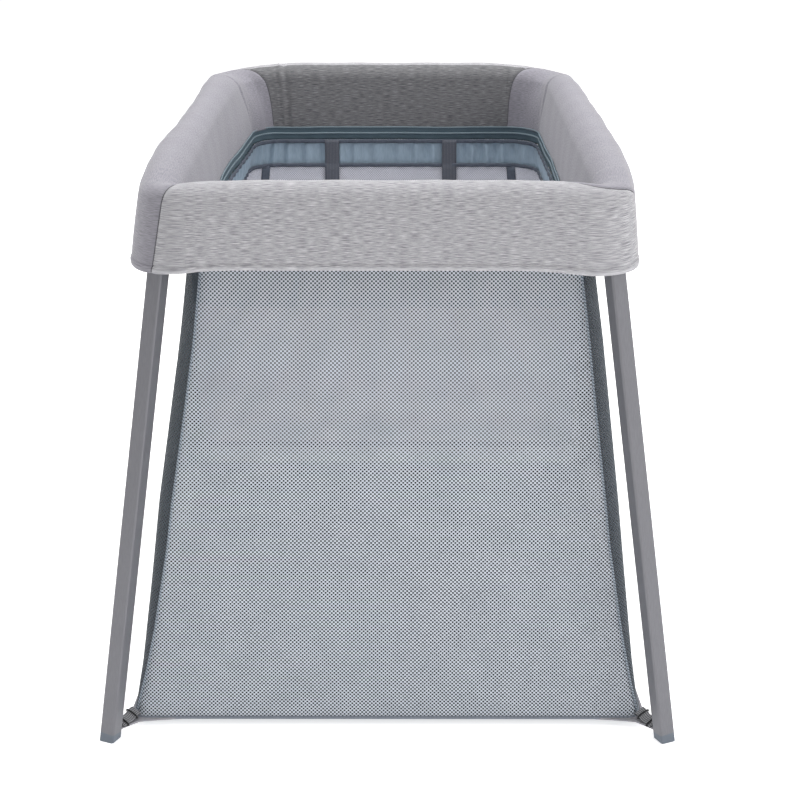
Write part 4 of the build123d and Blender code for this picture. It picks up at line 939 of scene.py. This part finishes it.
# Zip slider: a die-cast zinc slider with a finger pull, lacquered dark grey.
# It sits on the left of the tape, near the front, moved in by the lean of the tape there, and rides on the zip pull.
SLIDER_Y, SLIDER_EDGE, SLIDER_KEEP = 0.38, 0.0005, 0.9

# lacquered zinc: the lacquer is thin and worn brighter in spots about 3 mm across
lacquered_zinc = marked_metal("lacquered_die_cast_zinc", ("#4d5358", "#6b7176"), grain=0.003, detail=3.0,
                              roughness=(0.25, 0.45), metallic=0.8)
cast = nodes["zip_slider"].data
front_lean, back_lean = sway(-1, np.array([-SLIDER_Y, SLIDER_Y]))
points, corners = np.empty(3 * len(cast.vertices), np.float32), np.empty(len(cast.loops), np.int32)
cast.vertices.foreach_get("co", points)
cast.loops.foreach_get("vertex_index", corners)
points = points.reshape(-1, 3) + (front_lean, 0, 0)
slider = new_piece("bassinet_zip_slider", points, corners.reshape(-1, 3), None, lacquered_zinc)
weld(slider)
slider.data.shade_flat()
rounded = slider.modifiers.new("rounded edges", "BEVEL")
rounded.width, rounded.segments = SLIDER_EDGE, 2
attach(slider, "zip_pull")
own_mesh(slider)
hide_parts("zip_slider")


# Studio: a wide pale floor and an even white surround, with soft lamps from the right, from behind
# on both sides and from above. The floor glows a little, so that it stays white under the cot.
FLOOR_HALF, FLOOR_LEVEL = 30, -0.0005
floor_finish, tree, place = new_finish("pale_studio_floor", "Object")
cloud = add(tree, "TexNoise", {"Vector": place, "Scale": 0.6, "Detail": 2.0})
surface(tree, cloud, ("#f9f9f9", "#fbfbfb"), {
    "Roughness": 0.95, "Specular IOR Level": 0.1, "Emission Color": (1.0, 1.0, 1.0, 1.0), "Emission Strength": 0.62})
floor_corners = [(x * FLOOR_HALF, y * FLOOR_HALF, FLOOR_LEVEL) for x, y in ((-1, -1), (1, -1), (1, 1), (-1, 1))]
new_piece("studio_floor", floor_corners, [(0, 1, 2, 3)], None, floor_finish)

world = bpy.data.worlds.new("white surround")
world.use_nodes = True
world.node_tree.nodes["Background"].inputs["Color"].default_value = (1.0, 1.0, 1.0, 1.0)
world.node_tree.nodes["Background"].inputs["Strength"].default_value = 0.42
bpy.context.scene.world = world
for name, place, aim, size, power in (("right lamp", (2.9, -1.7, 1.8), (0, 0, 0.4), 2.0, 36.0),
                                      ("right back lamp", (2.4, 2.2, 2.2), (0, 0, 0.5), 2.0, 20.0),
                                      ("left back lamp", (-2.6, 1.8, 2.0), (0, 0, 0.5), 2.0, 16.0),
                                      ("top lamp", (0.0, 0.2, 3.2), (0, 0, 0.5), 2.6, 96.0)):
    lamp = bpy.data.lights.new(name, "AREA")
    lamp.size, lamp.energy = size, power
    lamp_at = bpy.data.objects.new(name, lamp)
    way = np.subtract(aim, place)
    lamp_at.location = place
    lamp_at.rotation_euler = (np.arctan2(np.hypot(way[0], way[1]), -way[2]), 0.0, np.arctan2(-way[0], way[1]))
    bpy.context.scene.collection.objects.link(lamp_at)

# the camera stands where the photograph was taken from, as fitted to the legs and the rim
lens = bpy.data.cameras.new("photograph")
lens.lens, lens.sensor_width = 80.76, 36.0
camera = bpy.data.objects.new("photograph", lens)
camera.location = (0.0208, -2.6712, 1.2528)
camera.rotation_euler = (np.pi / 2 - 0.3397, 0.0, 0.0016)
bpy.context.scene.collection.objects.link(camera)
bpy.context.scene.camera = camera
bpy.context.scene.view_settings.view_transform = "Standard"
